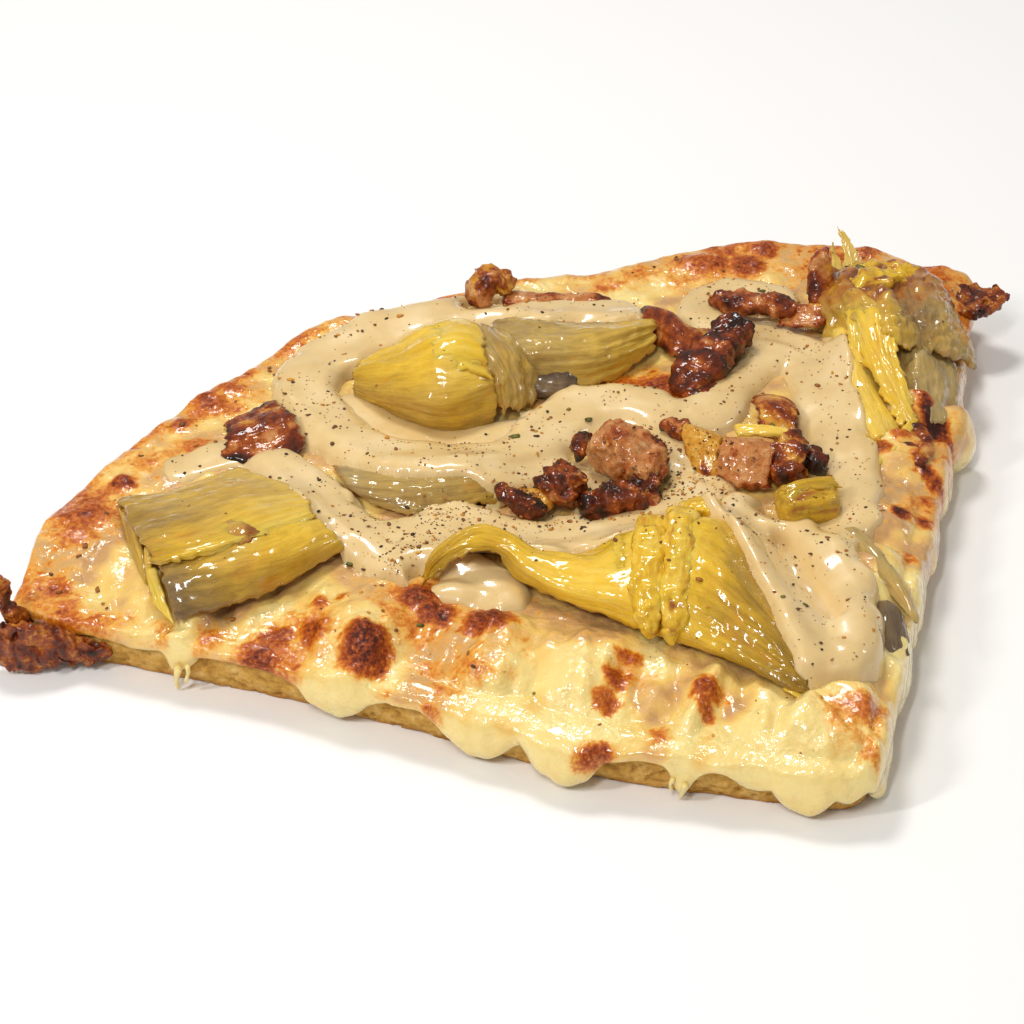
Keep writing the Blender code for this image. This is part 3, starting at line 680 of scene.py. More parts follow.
# %% Cheese attributes: browned, pale and fried stretches
def cheese_values(points):
    """Vertex attributes. Brown is the browning function or a band of fried orange near the cuts,
    whichever is more, plus freckles. Pale marks thick cheese: tongues, drips, the tip, the pale
    stretches and slow noise. The tongues' pale and the valleys' tan are also painted light and shade
    over the folds. Pale is lower along the right cut, because the layer is thin there and as painted
    shade on the side that faces away from the lamps."""
    x, y, z = points.T
    brown = browning(x, y)
    tongue = tongues(x, y)
    inside = inside_distance(x, y)
    left_in, _, right_in, _ = edge_places(x, y)
    near_cut = (1 - smooth_step(0.5, 7.0, inside)) * (1 - outer_share(x, y))
    broken = np.clip(0.75 + 1.1 * noise(points, 5.0, 41), 0, 1.3)
    band = 0.36 * near_cut * np.clip(1 - 1.7 * tongue, 0, 1) * broken
    band *= smooth_step(5.0, 8.5, z) * smooth_step(60, 100, np.hypot(x, y))
    # Painted light and shade: the tongues are made paler and the valleys between them tan, partly for thick
    # and thin cheese and partly for the light and shade over the folds.
    pale = 0.34 + 0.85 * rough(points, 9.0, 3, 42) + 0.95 * tongue - 0.15 * (left_in < 25)
    pale = pale + 0.6 * smooth_step(9.5, 6.0, z) + 0.35 * smooth_step(60, 25, np.hypot(x, y))
    # Painted shade: the cheese along the right cut is made less pale, partly because it is thin there and
    # partly for the shade on the side that faces away from the lamps.
    pale = pale - 0.9 * smooth_step(18, 5, right_in) * smooth_step(25, 45, y)
    for px, py, rx, ry, strength in PALE_STRETCHES:
        pale = pale + strength * bell(np.hypot((x - px) / rx, (y - py) / ry), 1.0, 3)
    freckles = np.clip(noise(points, 1.5, 43) - 0.25, 0, 1) * np.clip(0.9 - pale, 0, 1)
    brown = np.clip(np.maximum(brown * smooth_step(3.0, 9.5, z), band) + 0.55 * freckles, 0, 1.2)
    return {"brown": brown, "pale": np.clip(pale, 0, 1)}


# %% [markdown]
# ### The finish of the cheese
# Melted mozzarella sets as it cools. It is milky, so that light goes a millimetre or two in, with a
# film of its own oil on top. Thin stretches over the dough look tan, thick ones pale yellow, and the
# tan is deepened as painted shade in the valleys between the tongues and along the right cut. Browned
# spots run from orange through rust to nearly black, and have less oil in their middle. The film is
# the shader's coat, and has smooth waves of its own: over the finer bumps its glints would turn grey.

# %% Melted cheese material
def melted_mozzarella(tree):
    """Melted mozzarella: milky under a film of oil, and browned where the attribute says. The brown is
    broken up by a grain of 0.8 mm, because each spot is a crowd of tiny burst bubbles."""
    where = add(tree, "TexCoord", out="Object")
    brown, pale = (add(tree, "Attribute", attribute_name=name, out="Fac") for name in ("brown", "pale"))
    cloud = add(tree, "TexNoise", where, Scale=1000 / 6.0, Detail=4.0)
    cloudy = add(tree, "Math", cloud, 0.9, -0.45, operation="MULTIPLY_ADD")
    thick = add(tree, "Math", cloudy, pale, use_clamp=True)
    base = add(tree, "ValToRGB", thick, stops=((0.0, "#C99A62"), (0.26, "#E0B26A"), (0.52, "#EDC56A"),
                                               (1.0, "#F4DA8C")))
    grain = add(tree, "TexNoise", where, Scale=1000 / 0.8, Detail=4.0, Roughness=0.65)
    uneven = add(tree, "Math", add(tree, "Math", grain, 0.5, operation="SUBTRACT"),
                 add(tree, "Math", brown, 2.4, operation="MULTIPLY"), operation="MULTIPLY")
    baked = add(tree, "Math", uneven, brown, use_clamp=True)
    colour = add(tree, "ValToRGB", baked, stops=((0.0, "#F3CF7C"), (0.18, "#E8A53C"), (0.36, "#C86A12"),
                                                 (0.56, "#A04606"), (0.78, "#762803"), (1.0, "#3E1402")))
    share = add(tree, "MapRange", baked, 0.03, 0.26, interpolation_type="SMOOTHSTEP")
    dry = add(tree, "MapRange", baked, 0.15, 0.8, 0.3, 0.6)
    oily = add(tree, "MapRange", baked, 0.12, 0.6, 1.0, 0.15)
    folds = add(tree, "TexNoise", where, Scale=1000 / 2.4, Detail=3.0)
    beads = add(tree, "TexNoise", where, Scale=1000 / 2.6, Detail=1.0)
    under = add(tree, "Bump", Height=folds, Distance=0.6 * MM)
    pooled = add(tree, "MapRange", cloud, 0.42, 0.58, 0.15, 1.25)
    film = add(tree, "Math", beads, pooled, operation="MULTIPLY")
    wet = add(tree, "Bump", Height=film, Distance=0.45 * MM)
    return add(
        tree, "BsdfPrincipled", add(tree, "MixRGB", share, base, colour), Roughness=dry, IOR=1.34,
        Normal=under, Coat_Normal=wet, Subsurface_Weight=0.4, Subsurface_Radius=(1.0, 0.6, 0.25),
        Subsurface_Scale=1.4 * MM, Coat_Weight=oily, Coat_Roughness=0.09, Coat_IOR=1.5)


MELTED_CHEESE = new_material("melted_mozzarella", melted_mozzarella)
new_piece("melted_cheese", cheese_points, cheese_quads, cheese_values(cheese_points), MELTED_CHEESE,
          "melted_cheese", "cheese")
print("the cheese hangs at most", cheese_reach.max().round(2), "mm below the dough's top")

# %% [markdown]
# ## The dough
# The base is a 10 mm sheet of baked bread dough. Its two cuts show the crumb, full of small flattened
# pores, and its crust side and underside are browned. The wall is a band of rings with pores pushed
# into it where noise is high. The crust side, which lay against the pan, gets none.

# %% The dough as one closed skin
DOUGH_AROUND = 1400
DOUGH_RINGS = 34


def dough_skin():
    """Rings up the wall from the foot to the shoulder, each pushed in by pores on the cut sides and by
    slow waves, and two small rings that close the bottom and the top."""
    phi = even_directions(DOUGH_AROUND)
    edge, cosine, sine = outline_radius(phi), np.cos(phi), np.sin(phi)
    outer = outer_share(edge * cosine, CENTRE_Y + edge * sine)
    stations = np.array([
        [-2.2 - PAN_TAPER * outer, 0 * edge],
        [-0.9 - PAN_TAPER * outer, 0 * edge + 0.25],
        [0.2 - 0.5 * PAN_TAPER * outer, 0 * edge + 3.5],
        [0.1 - 0.2 * outer, 0 * edge + 7.0],
        [-0.9 + 0 * outer, 0 * edge + DOUGH_TOP - 0.4],
    ])
    wall = smooth_path(stations, DOUGH_RINGS)
    out, z = wall[:, 0], wall[:, 1]
    x, y = (edge + out) * cosine, CENTRE_Y + (edge + out) * sine
    here = flat(x, y, z)
    body = np.sin(np.linspace(0.25, math.pi, DOUGH_RINGS))[:, None]
    squashed = here * (1, 1, 1.7)
    pores = smooth_step(0.25, 0.65, noise(squashed, 1.9, 51)) * 0.6
    pores += smooth_step(0.15, 0.6, noise(squashed, 0.95, 52)) * 0.3
    push = 0.35 * noise(here, 9.0, 53) + 0.22 * noise(here, 3.0, 54) - pores * (1 - outer)
    push = push * body
    x, y = x + push * cosine, y + push * sine
    lifted = 0.5 * np.clip(noise(flat(x, y), 7.0, 55), 0, 1) + 0.35 * noise(here, 2.5, 56)
    z = z + lifted * bell(z - 0.4, 1.2)
    foot = [flat(f * edge * cosine, CENTRE_Y + f * (edge - 3) * sine, 0.05) for f in (0.02, 0.5)]
    sides = list(flat(x, y, np.clip(z, 0, DOUGH_TOP + 0.2)))
    edge = edge - 1.5
    lid = [flat(f * edge * cosine, CENTRE_Y + f * edge * sine, DOUGH_TOP - 0.4) for f in (0.9, 0.02)]
    nothing = np.zeros((2, DOUGH_AROUND))
    # The depth of the pores is kept for the painted shade inside them.
    depth = np.concatenate([nothing, pores * (1 - outer) * body, nothing])
    crust = np.concatenate([nothing + 1, outer * np.ones((DOUGH_RINGS, 1)), nothing])
    return np.array(foot + sides + lid), {"pore_shade": depth.ravel(), "crust": crust.ravel()}


# %% [markdown]
# ### The finish of the dough
# Baked wheat dough: matt, beige and slightly grey in the crumb, with painted shade that darkens the
# inside of the pores, toasted to a brown line along the bottom edge and over the whole underside,
# where it lay on the hot pan.

# %% Baked dough material
def baked_wheat_dough(tree):
    """Wheat bread: a dry, fine-pored crumb on the cuts, and a toasted crust below and outside."""
    where = add(tree, "TexCoord", out="Object")
    height = add(tree, "SeparateXYZ", where, out="Z")
    patches = add(tree, "TexNoise", where, Scale=1000 / 3.0, Detail=5.0, Roughness=0.7)
    crumb = add(tree, "ValToRGB", patches, stops=((0.3, "#B08034"), (0.5, "#D2A250"), (0.7, "#E6C076")))
    # Painted shade: the crumb is made darker inside the pores, most where they are deepest.
    pore_shade = add(tree, "Attribute", attribute_name="pore_shade", out="Fac")
    crumb = add(tree, "MixRGB", add(tree, "Math", pore_shade, 0.8, operation="MULTIPLY", use_clamp=True), crumb,
                linear("#A07030"))
    ragged = add(tree, "Math", add(tree, "TexNoise", where, Scale=1000 / 4.0, Detail=4.0), 0.003, height,
                 operation="MULTIPLY_ADD")
    low = add(tree, "MapRange", ragged, 0.0034, 0.0014, 0.0, 0.85)
    crust = add(tree, "Attribute", attribute_name="crust", out="Fac")
    toast = add(tree, "Math", low, crust, operation="MAXIMUM", use_clamp=True)
    scorch = add(tree, "TexNoise", where, Scale=1000 / 5.0, Detail=5.0, Roughness=0.65)
    brown = add(tree, "ValToRGB", scorch, stops=((0.3, "#7A4216"), (0.5, "#AE6F2C"), (0.7, "#D09A4E")))
    pits = add(tree, "TexNoise", where, Scale=1000 / 1.3, Detail=4.0, Roughness=0.7)
    flour = add(tree, "TexNoise", where, Scale=1000 / 0.45, Detail=3.0)
    under = add(tree, "Bump", Height=pits, Distance=0.5 * MM)
    normal = add(tree, "Bump", Height=flour, Distance=0.12 * MM, Normal=under)
    return add(
        tree, "BsdfPrincipled", add(tree, "MixRGB", toast, crumb, brown), Roughness=0.8, IOR=1.35,
        Normal=normal, Subsurface_Weight=0.15, Subsurface_Radius=(1.0, 0.6, 0.35),
        Subsurface_Scale=1.2 * MM, Specular_IOR_Level=0.3)


BAKED_DOUGH = new_material("baked_wheat_dough", baked_wheat_dough)
rings, values = dough_skin()
new_piece("baked_dough", *skin(rings), values, BAKED_DOUGH, "baked_dough", "dough")

# %% [markdown]
# ## Sheets and lumps for the toppings
# An artichoke heart is layers of leaves, and a leaf is best given by a few curves that lie on it: the
# surface runs smoothly along the curves and smoothly from one to the next. It then gets a thickness
# that thins at its borders, fibres that run along it, and borders that are a little torn. Bacon pieces
# are lumps: an oval section carried along a path and roughened.

# %% A leaf through guide curves
def unit(vectors):
    """Vectors scaled to length 1."""
    return vectors / np.maximum(np.linalg.norm(vectors, axis=-1, keepdims=True), 1e-9)


TOPPING_CELL = 0.42


def leaf(guides, thick, tone, seed, grey=0.0, toast=0.0, fibre=0.14, torn=0.7, wave=0.5, pebble=0.0):
    """A closed sheet through guide curves, each a row of points of equal count. The middle surface is
    the smooth curve across of the smooth curves along. It is raised by long fibres and slow waves, and
    its half thickness thins to an eighth at the borders. Torn is how uneven the borders are, and
    pebble the height of small lumps all over. Tone, grey and toast may be one number, or a table of
    one for each guide and point that is smoothed the same way. The hollows also get toast, which
    there is painted shade."""
    guides = np.asarray(guides, float)
    tints = [np.broadcast_to(np.asarray(t, float), guides.shape[:2])[..., None] for t in (tone, grey, toast)]
    guides = np.concatenate([guides, *tints], axis=2)
    along_mm = np.linalg.norm(np.diff(guides[..., :3], axis=1), axis=2).sum(axis=1).mean()
    across_mm = np.linalg.norm(np.diff(guides[..., :3], axis=0), axis=2).sum(axis=0).mean()
    rows, columns = int(along_mm / (1.3 * TOPPING_CELL)) + 10, int(across_mm / TOPPING_CELL) + 8
    curves = np.stack([smooth_path(g, rows) for g in guides])
    middle = np.swapaxes(smooth_path(curves, columns), 0, 1)
    middle, tone, grey, toast = middle[..., :3], middle[..., 3], middle[..., 4], middle[..., 5]
    u, v = np.meshgrid(np.linspace(0, 1, rows), np.linspace(0, 1, columns), indexing="ij")
    grain = np.stack([u * along_mm, v * across_mm, np.full(u.shape, 7.7 * seed)], axis=-1)
    toward_u, toward_v = unit(np.gradient(middle, axis=0)), unit(np.gradient(middle, axis=1))
    side_u, side_v = 2 * u - 1, 2 * v - 1
    fray_v = torn * (noise(grain * (1, 0, 1), 2.1, 61) + 0.5 * noise(grain * (1, 0, 1), 0.8, 62))
    fray_u = torn * (noise(grain * (0, 1, 1), 1.6, 63) + 0.6 * noise(grain * (0, 1, 1), 0.7, 64))
    middle = middle + toward_v * (fray_v * side_v**7)[..., None] + toward_u * (fray_u * side_u**9)[..., None]
    normal = unit(np.cross(toward_u, toward_v))
    normal = normal * np.where(normal[..., 2:].mean() < 0, -1, 1)
    long_grain = grain * (0.11, 1, 1)
    relief = fibre * (noise(long_grain, 0.95, 65) + 0.6 * noise(long_grain, 0.5, 66))
    relief = relief + wave * noise(grain * (0.45, 1, 1), 4.5, 67)
    relief = relief + 0.12 * noise(grain * (0.6, 1, 1), 1.6, 68) + 0.05 * noise(grain, 0.8, 75)
    relief = relief + pebble * (noise(grain, 2.6, 76) + 0.6 * noise(grain, 1.2, 77))
    body = np.sqrt(np.clip((1 - side_v**8) * (1 - side_u**14), 0, 1))
    half = 0.5 * thick * (0.12 + 0.88 * body)
    top = middle + normal * (half + relief * (0.3 + 0.7 * body))[..., None]
    bottom = middle - normal * (half - 0.4 * relief * body)[..., None]
    rings = np.concatenate([top, bottom[:, ::-1]], axis=1)
    border = np.maximum(np.abs(side_v), np.abs(side_u) ** 2)
    shade = tone + 0.13 * noise(grain * (0.4, 1, 1), 5.0, 69) + 0.08 * noise(long_grain, 1.3, 70)
    # Painted shade: the hollows between fibres, waves and lumps are browned through the toast attribute.
    hollow_shade = np.clip(-relief / (fibre + 0.6 * wave + pebble + 0.1) - 0.2, 0, 1)
    toast = toast * (1 + 0.8 * noise(grain, 3.0, 78)) + 0.45 * hollow_shade
    values = {}
    for name, value in (("tone", shade), ("border", border), ("toast", toast),
                        ("grey", grey + 0.2 * noise(grain, 6.0, 71))):
        values[name] = np.concatenate([value, value[:, ::-1]], axis=1).ravel()
    values["grain"] = np.concatenate([grain, grain[:, ::-1]], axis=1).reshape(-1, 3)
    points, quads = skin(rings)
    return points, quads, values


# %% A lump along a path
def lump(stations, seed, uneven=0.5, cell=TOPPING_CELL, lean=0.8, char=0.2):
    """A closed lump. Each station is x, y, z, half width and half height; an oval with flattened sides
    is carried along the smooth path, shrinks to nothing at both ends, and is roughened outwards."""
    stations = np.asarray(stations, float)
    length = np.linalg.norm(np.diff(stations[:, :3], axis=0), axis=1).sum()
    rows = int(length / cell) + 14
    columns = 2 * (int(math.pi * stations[:, 3:5].mean() / cell) + 6)
    path = smooth_path(stations, rows)
    share = np.linspace(-1, 1, rows)
    width, height = np.maximum(path[:, 3:5], 0.3).T * np.sqrt(np.clip(1.0004 - np.abs(share) ** 6, 0, 1))
    heading = unit(np.gradient(path[:, :3], axis=0))
    side = unit(np.cross(heading, (0, 0, 1.0)))
    up = np.cross(side, heading)
    angle = np.linspace(0, 2 * math.pi, columns, endpoint=False) + math.pi / columns
    wide = np.sign(np.cos(angle)) * np.abs(np.cos(angle)) ** 0.75
    tall = np.sign(np.sin(angle)) * np.abs(np.sin(angle)) ** 0.75
    wide, tall = wide * width[:, None], tall * height[:, None]
    arm = side[:, None] * wide[..., None] + up[:, None] * tall[..., None]
    centre = path[:, None, :3]
    here = centre + arm
    rise = uneven * (rough(here, 3.4, 3, 80 + seed) + 0.35 * rough(here, 1.1, 2, 90 + seed))
    size = np.linalg.norm(arm, axis=-1)
    here = here + arm * (rise / np.maximum(size, 1.0) * np.clip(size / 1.2, 0, 1))[..., None]
    points, quads = skin(here)
    lean_value = lean + 0.55 * noise(here * (0.7, 0.7, 1.4), 5.0, 100 + seed)
    ends = np.clip(np.abs(share) - 0.5, 0, 1)[:, None]
    char_value = char + 0.35 * ends + 0.5 * rough(here, 3.6, 3, 110 + seed)
    values = {"lean": np.clip(lean_value, 0, 1).ravel(), "char": np.clip(char_value, 0, 1).ravel()}
    return points, quads, values


# %% A torn end of a leaf
def flesh(stations, seed, tone=0.85, grey=0.0, toast=0.05, uneven=0.8, cut=0.0):
    """A lump with the attributes of a leaf. Its fibres run from its first station to its last, yellower on
    their ridges and browner in their hollows, which is painted light and shade. Cut is how much paler
    the face at its first end is."""
    points, quads, _ = lump(stations, 60 + seed, uneven=uneven)
    start, end = (np.asarray(stations[k][:3], float) for k in (0, -1))
    heading = unit(end - start)
    side = unit(np.cross(heading, (0, 0, 1.0)))
    grain = points @ np.stack([heading, side, np.cross(side, heading)]).T
    ridges = noise(grain * (0.22, 1, 1), 1.7, 131) + 0.6 * noise(grain * (0.22, 1, 1), 0.8, 132)
    middle = start + ((points - start) @ heading)[:, None] * heading
    points = points + (0.22 * ridges)[:, None] * unit(points - middle)
    share = (points - start) @ heading / np.linalg.norm(end - start)
    values = {
        # Painted light and shade: the ridges are made yellower and the hollows browner.
        "tone": tone + 0.2 * ridges + cut * smooth_step(0.02, -0.02, share),
        "border": 0.3 + 0 * ridges,
        "toast": np.clip(toast * (1 + noise(points, 3.0, 133)) - 0.55 * ridges - 0.1, 0, 1),
        "grey": grey + 0.2 * noise(points, 4.0, 134),
        "grain": grain,
    }
    return points, quads, values


# %% [markdown]
# ## Artichoke hearts
# They are grilled, marinated quarters of hearts. Outer leaves are olive and fibrous with grey, glassy
# patches, inner ones are bright yellow and torn where they were cut. They could be sculpted by hand,
# but a few guide curves for each leaf say the same and can be read. A piece is one leaf or more that
# lie over each other, with the fibres along each, and torn flesh is a fibrous lump.

# %% Guide curves of the left and the back quarters
LEFT_QUARTER = (
    leaf((((-78.8, 119.8, 13.4), (-72, 118.6, 13.6), (-64.8, 117.8, 13.8), (-56.1, 118.6, 13.6)),
          ((-79.3, 118.3, 16.3), (-72.1, 115.6, 17), (-64.8, 114.1, 17.5), (-56.1, 115.6, 17)),
          ((-81.3, 106.4, 19), (-73.1, 104, 20.3), (-61.7, 103.1, 20.5), (-50.8, 103.2, 18)),
          ((-82.4, 97.2, 20.6), (-75.3, 94.3, 21.4), (-65, 93.8, 21.4), (-52, 95.4, 19.5)),
          ((-82.9, 94.6, 19.8), (-75.3, 91.8, 20.8), (-65, 91.5, 20.6), (-52.6, 93.4, 18.6))),
         1.1, ((0.5, 0.5, 0.55, 0.7), (0.45, 0.5, 0.6, 0.75), (0.42, 0.48, 0.62, 0.85),
               (0.5, 0.72, 0.9, 0.95), (0.55, 0.85, 0.95, 0.95)), 1,
         grey=((0.2,), (0.25,), (0.3,), (0.05,), (0,)), wave=0.5, torn=0.9),
    leaf((((-81, 98, 19), (-72.1, 96, 20), (-60.5, 95, 19.8), (-51.3, 97.1, 17.6)),
          ((-81.4, 95.2, 19.2), (-72.1, 92.2, 20.2), (-60.5, 91.2, 20), (-51.3, 94.1, 18)),
          ((-82.2, 91.2, 17.6), (-73.3, 88.2, 18.9), (-62.4, 86.8, 18.8), (-50.3, 89.8, 17)),
          ((-82.3, 86.6, 13.2), (-73.9, 85.3, 13.9), (-64.2, 84.6, 14.5), (-49.2, 88.6, 14.8))),
         # Painted shade: this front leaf's tone falls towards its lower edge, darkest at its lower left,
         # where it faces down and away from the lamps.
         1.5, ((0.5, 0.6, 0.75, 0.9), (0.4, 0.55, 0.7, 0.85), (0.22, 0.48, 0.62, 0.76),
               (0.12, 0.36, 0.52, 0.66)), 2,
         grey=((0.2, 0.1, 0, 0), (0.4, 0.2, 0.1, 0), (0.6, 0.35, 0.15, 0.1),
               (0.55, 0.4, 0.25, 0.15)), wave=0.6, torn=0.5),
    leaf((((-79.3, 118.2, 15.6), (-81.2, 110.6, 15), (-82.9, 99.8, 12.4)),
          ((-80, 109.6, 18), (-81.5, 102.9, 17.5), (-83, 97.4, 14))), 0.9, 0.62, 3, grey=0.3, torn=0.3),
    leaf((((-80.9, 101.6, 18.8), (-82.3, 98.6, 16.6), (-83.2, 95.6, 13)),
          ((-81.9, 97.4, 19.6), (-82.9, 95.2, 17), (-83.2, 90.2, 12.8))), 0.9, 0.7, 10, grey=0.2, torn=0.4),
    leaf((((-82.9, 96.6, 18.2), (-83.6, 94.9, 15.5), (-84.1, 92.4, 13.3)),
          ((-82.2, 94.7, 19), (-82.3, 92.6, 16), (-82.8, 86.3, 12.5))), 0.9, 0.9, 4, torn=0.4),
    leaf((((-70.4, 96.4, 21), (-67, 97.4, 21.5), (-63.2, 95.6, 21.2)),
          ((-69, 93.6, 21.7), (-66.6, 94, 22.2), (-63.4, 93.4, 21.6)),
          ((-68.6, 91.2, 20.8), (-66.6, 91.4, 21.3), (-64.4, 91.8, 21))),
         0.7, 0.75, 31, toast=0.42, grey=0.4, torn=1.3, pebble=0.3),
)
HEART_QUARTER = (
    leaf((((-23.5, 138.5, 13.3), (-16.5, 136.5, 13.3), (-9.5, 135, 13.3), (-1, 132.5, 13.3)),
          ((-21.6, 136.6, 16), (-15.5, 132.9, 19.5), (-10, 131.2, 23), (-2.5, 129.9, 22.6)),
          ((-25.1, 132.1, 17.5), (-18.4, 126.1, 21.5), (-11.8, 122, 25), (-4.4, 119.5, 24)),
          ((-26.1, 130.7, 16), (-22.5, 119.6, 19.5), (-16.1, 111.8, 21.6), (-6.1, 112.1, 21)),
          ((-25.4, 131.1, 13.3), (-21.5, 120, 13.3), (-15.4, 111.4, 13.3), (-7, 110, 13.6))),
         2, ((0.6,) * 4, (0.7, 0.75, 0.85, 0.9), (0.66, 0.74, 0.84, 0.86), (0.58, 0.62, 0.66, 0.7),
               (0.5,) * 4), 5, grey=((0.1,), (0.05,), (0.05,), (0.2,), (0.3,)), fibre=0.24, wave=0.8,
         pebble=0.16),
    leaf((((-9.6, 131.6, 22.4), (-5.1, 131.4, 22.6), (-1.6, 128.5, 22)),
          ((-10.1, 129.2, 24.4), (-5.1, 128.6, 25), (-2, 125.6, 24)),
          ((-13.9, 121.5, 25.6), (-9.9, 119.7, 26.4), (-5.5, 117.5, 25)),
          ((-15.9, 116.6, 22.8), (-11.5, 114, 23.8), (-7, 111.8, 22.4))),
         1.2, 0.84, 6, fibre=0.08, wave=0.9, torn=1.2),
    leaf((((-5.6, 122.9, 22.6), (-6.2, 113.5, 22.2), (-6.2, 109.6, 15.4)),
          ((-1.6, 126.3, 23.4), (-2.2, 115.4, 22.4), (-3.4, 109.4, 16)),
          ((3, 128.3, 21), (2, 117.4, 20.5), (-0.4, 110.4, 14.6)),
          ((8.5, 130.6, 15), (7.4, 119.5, 15), (4, 112.9, 13.2))),
         1.6, 0.56, 7, grey=0.55, toast=0.1, wave=1.1, pebble=0.3, torn=1.1),
)
BACK_QUARTER = (
    leaf((((8, 136.5, 13.4), (15, 131.5, 13.6), (24, 126, 13.8), (34.6, 123, 14.2)),
          ((5.8, 133.2, 18), (12.2, 127.3, 19), (21, 121.9, 18.6), (34.4, 120.8, 16.4)),
          ((0.9, 123.3, 19.6), (7.5, 118.1, 20.6), (17.2, 114.2, 20.2), (32.4, 117.2, 17.6)),
          ((1.4, 118.4, 14), (7.3, 114.4, 13.8), (17.1, 110.6, 13.8), (30.6, 114.6, 13.8))),
         1.8, ((0.5, 0.55, 0.6, 0.76),) * 4, 8, grey=((0.85, 0.7, 0.35, 0.1),) * 4,
         fibre=0.32, wave=1.1, torn=0.9, pebble=0.25),
    leaf((((2.6, 120.6, 15.8), (7.2, 117, 17), (12.6, 114.8, 16)),
          ((1.2, 117.4, 14.4), (6, 113.2, 15), (12, 111.2, 14.4)),
          ((0.8, 115.8, 13.2), (5.4, 111.4, 13.2), (12.2, 109.4, 13))), 1.4, 0.04, 28, grey=1, wave=1.2,
         torn=1.2, pebble=0.5),
)
FLAT_LEAF = (
    leaf((((-39.5, 112.2, 14), (-30.8, 104.4, 14.3), (-20.5, 99.8, 14.6), (-12.8, 94, 14.3)),
          ((-41.2, 105.7, 15.2), (-32.9, 96.9, 16.4), (-23.6, 92.9, 16.9), (-13.6, 89.9, 15.8)),
          ((-38.6, 98.6, 13.4), (-33.2, 92, 13.7), (-24.1, 89.2, 13.9), (-15.4, 87.6, 13.7))),
         1.3, 0.5, 9, grey=((0.9, 0.7, 0.45, 0.3),) * 3, fibre=0.2, wave=0.7, pebble=0.15),
)

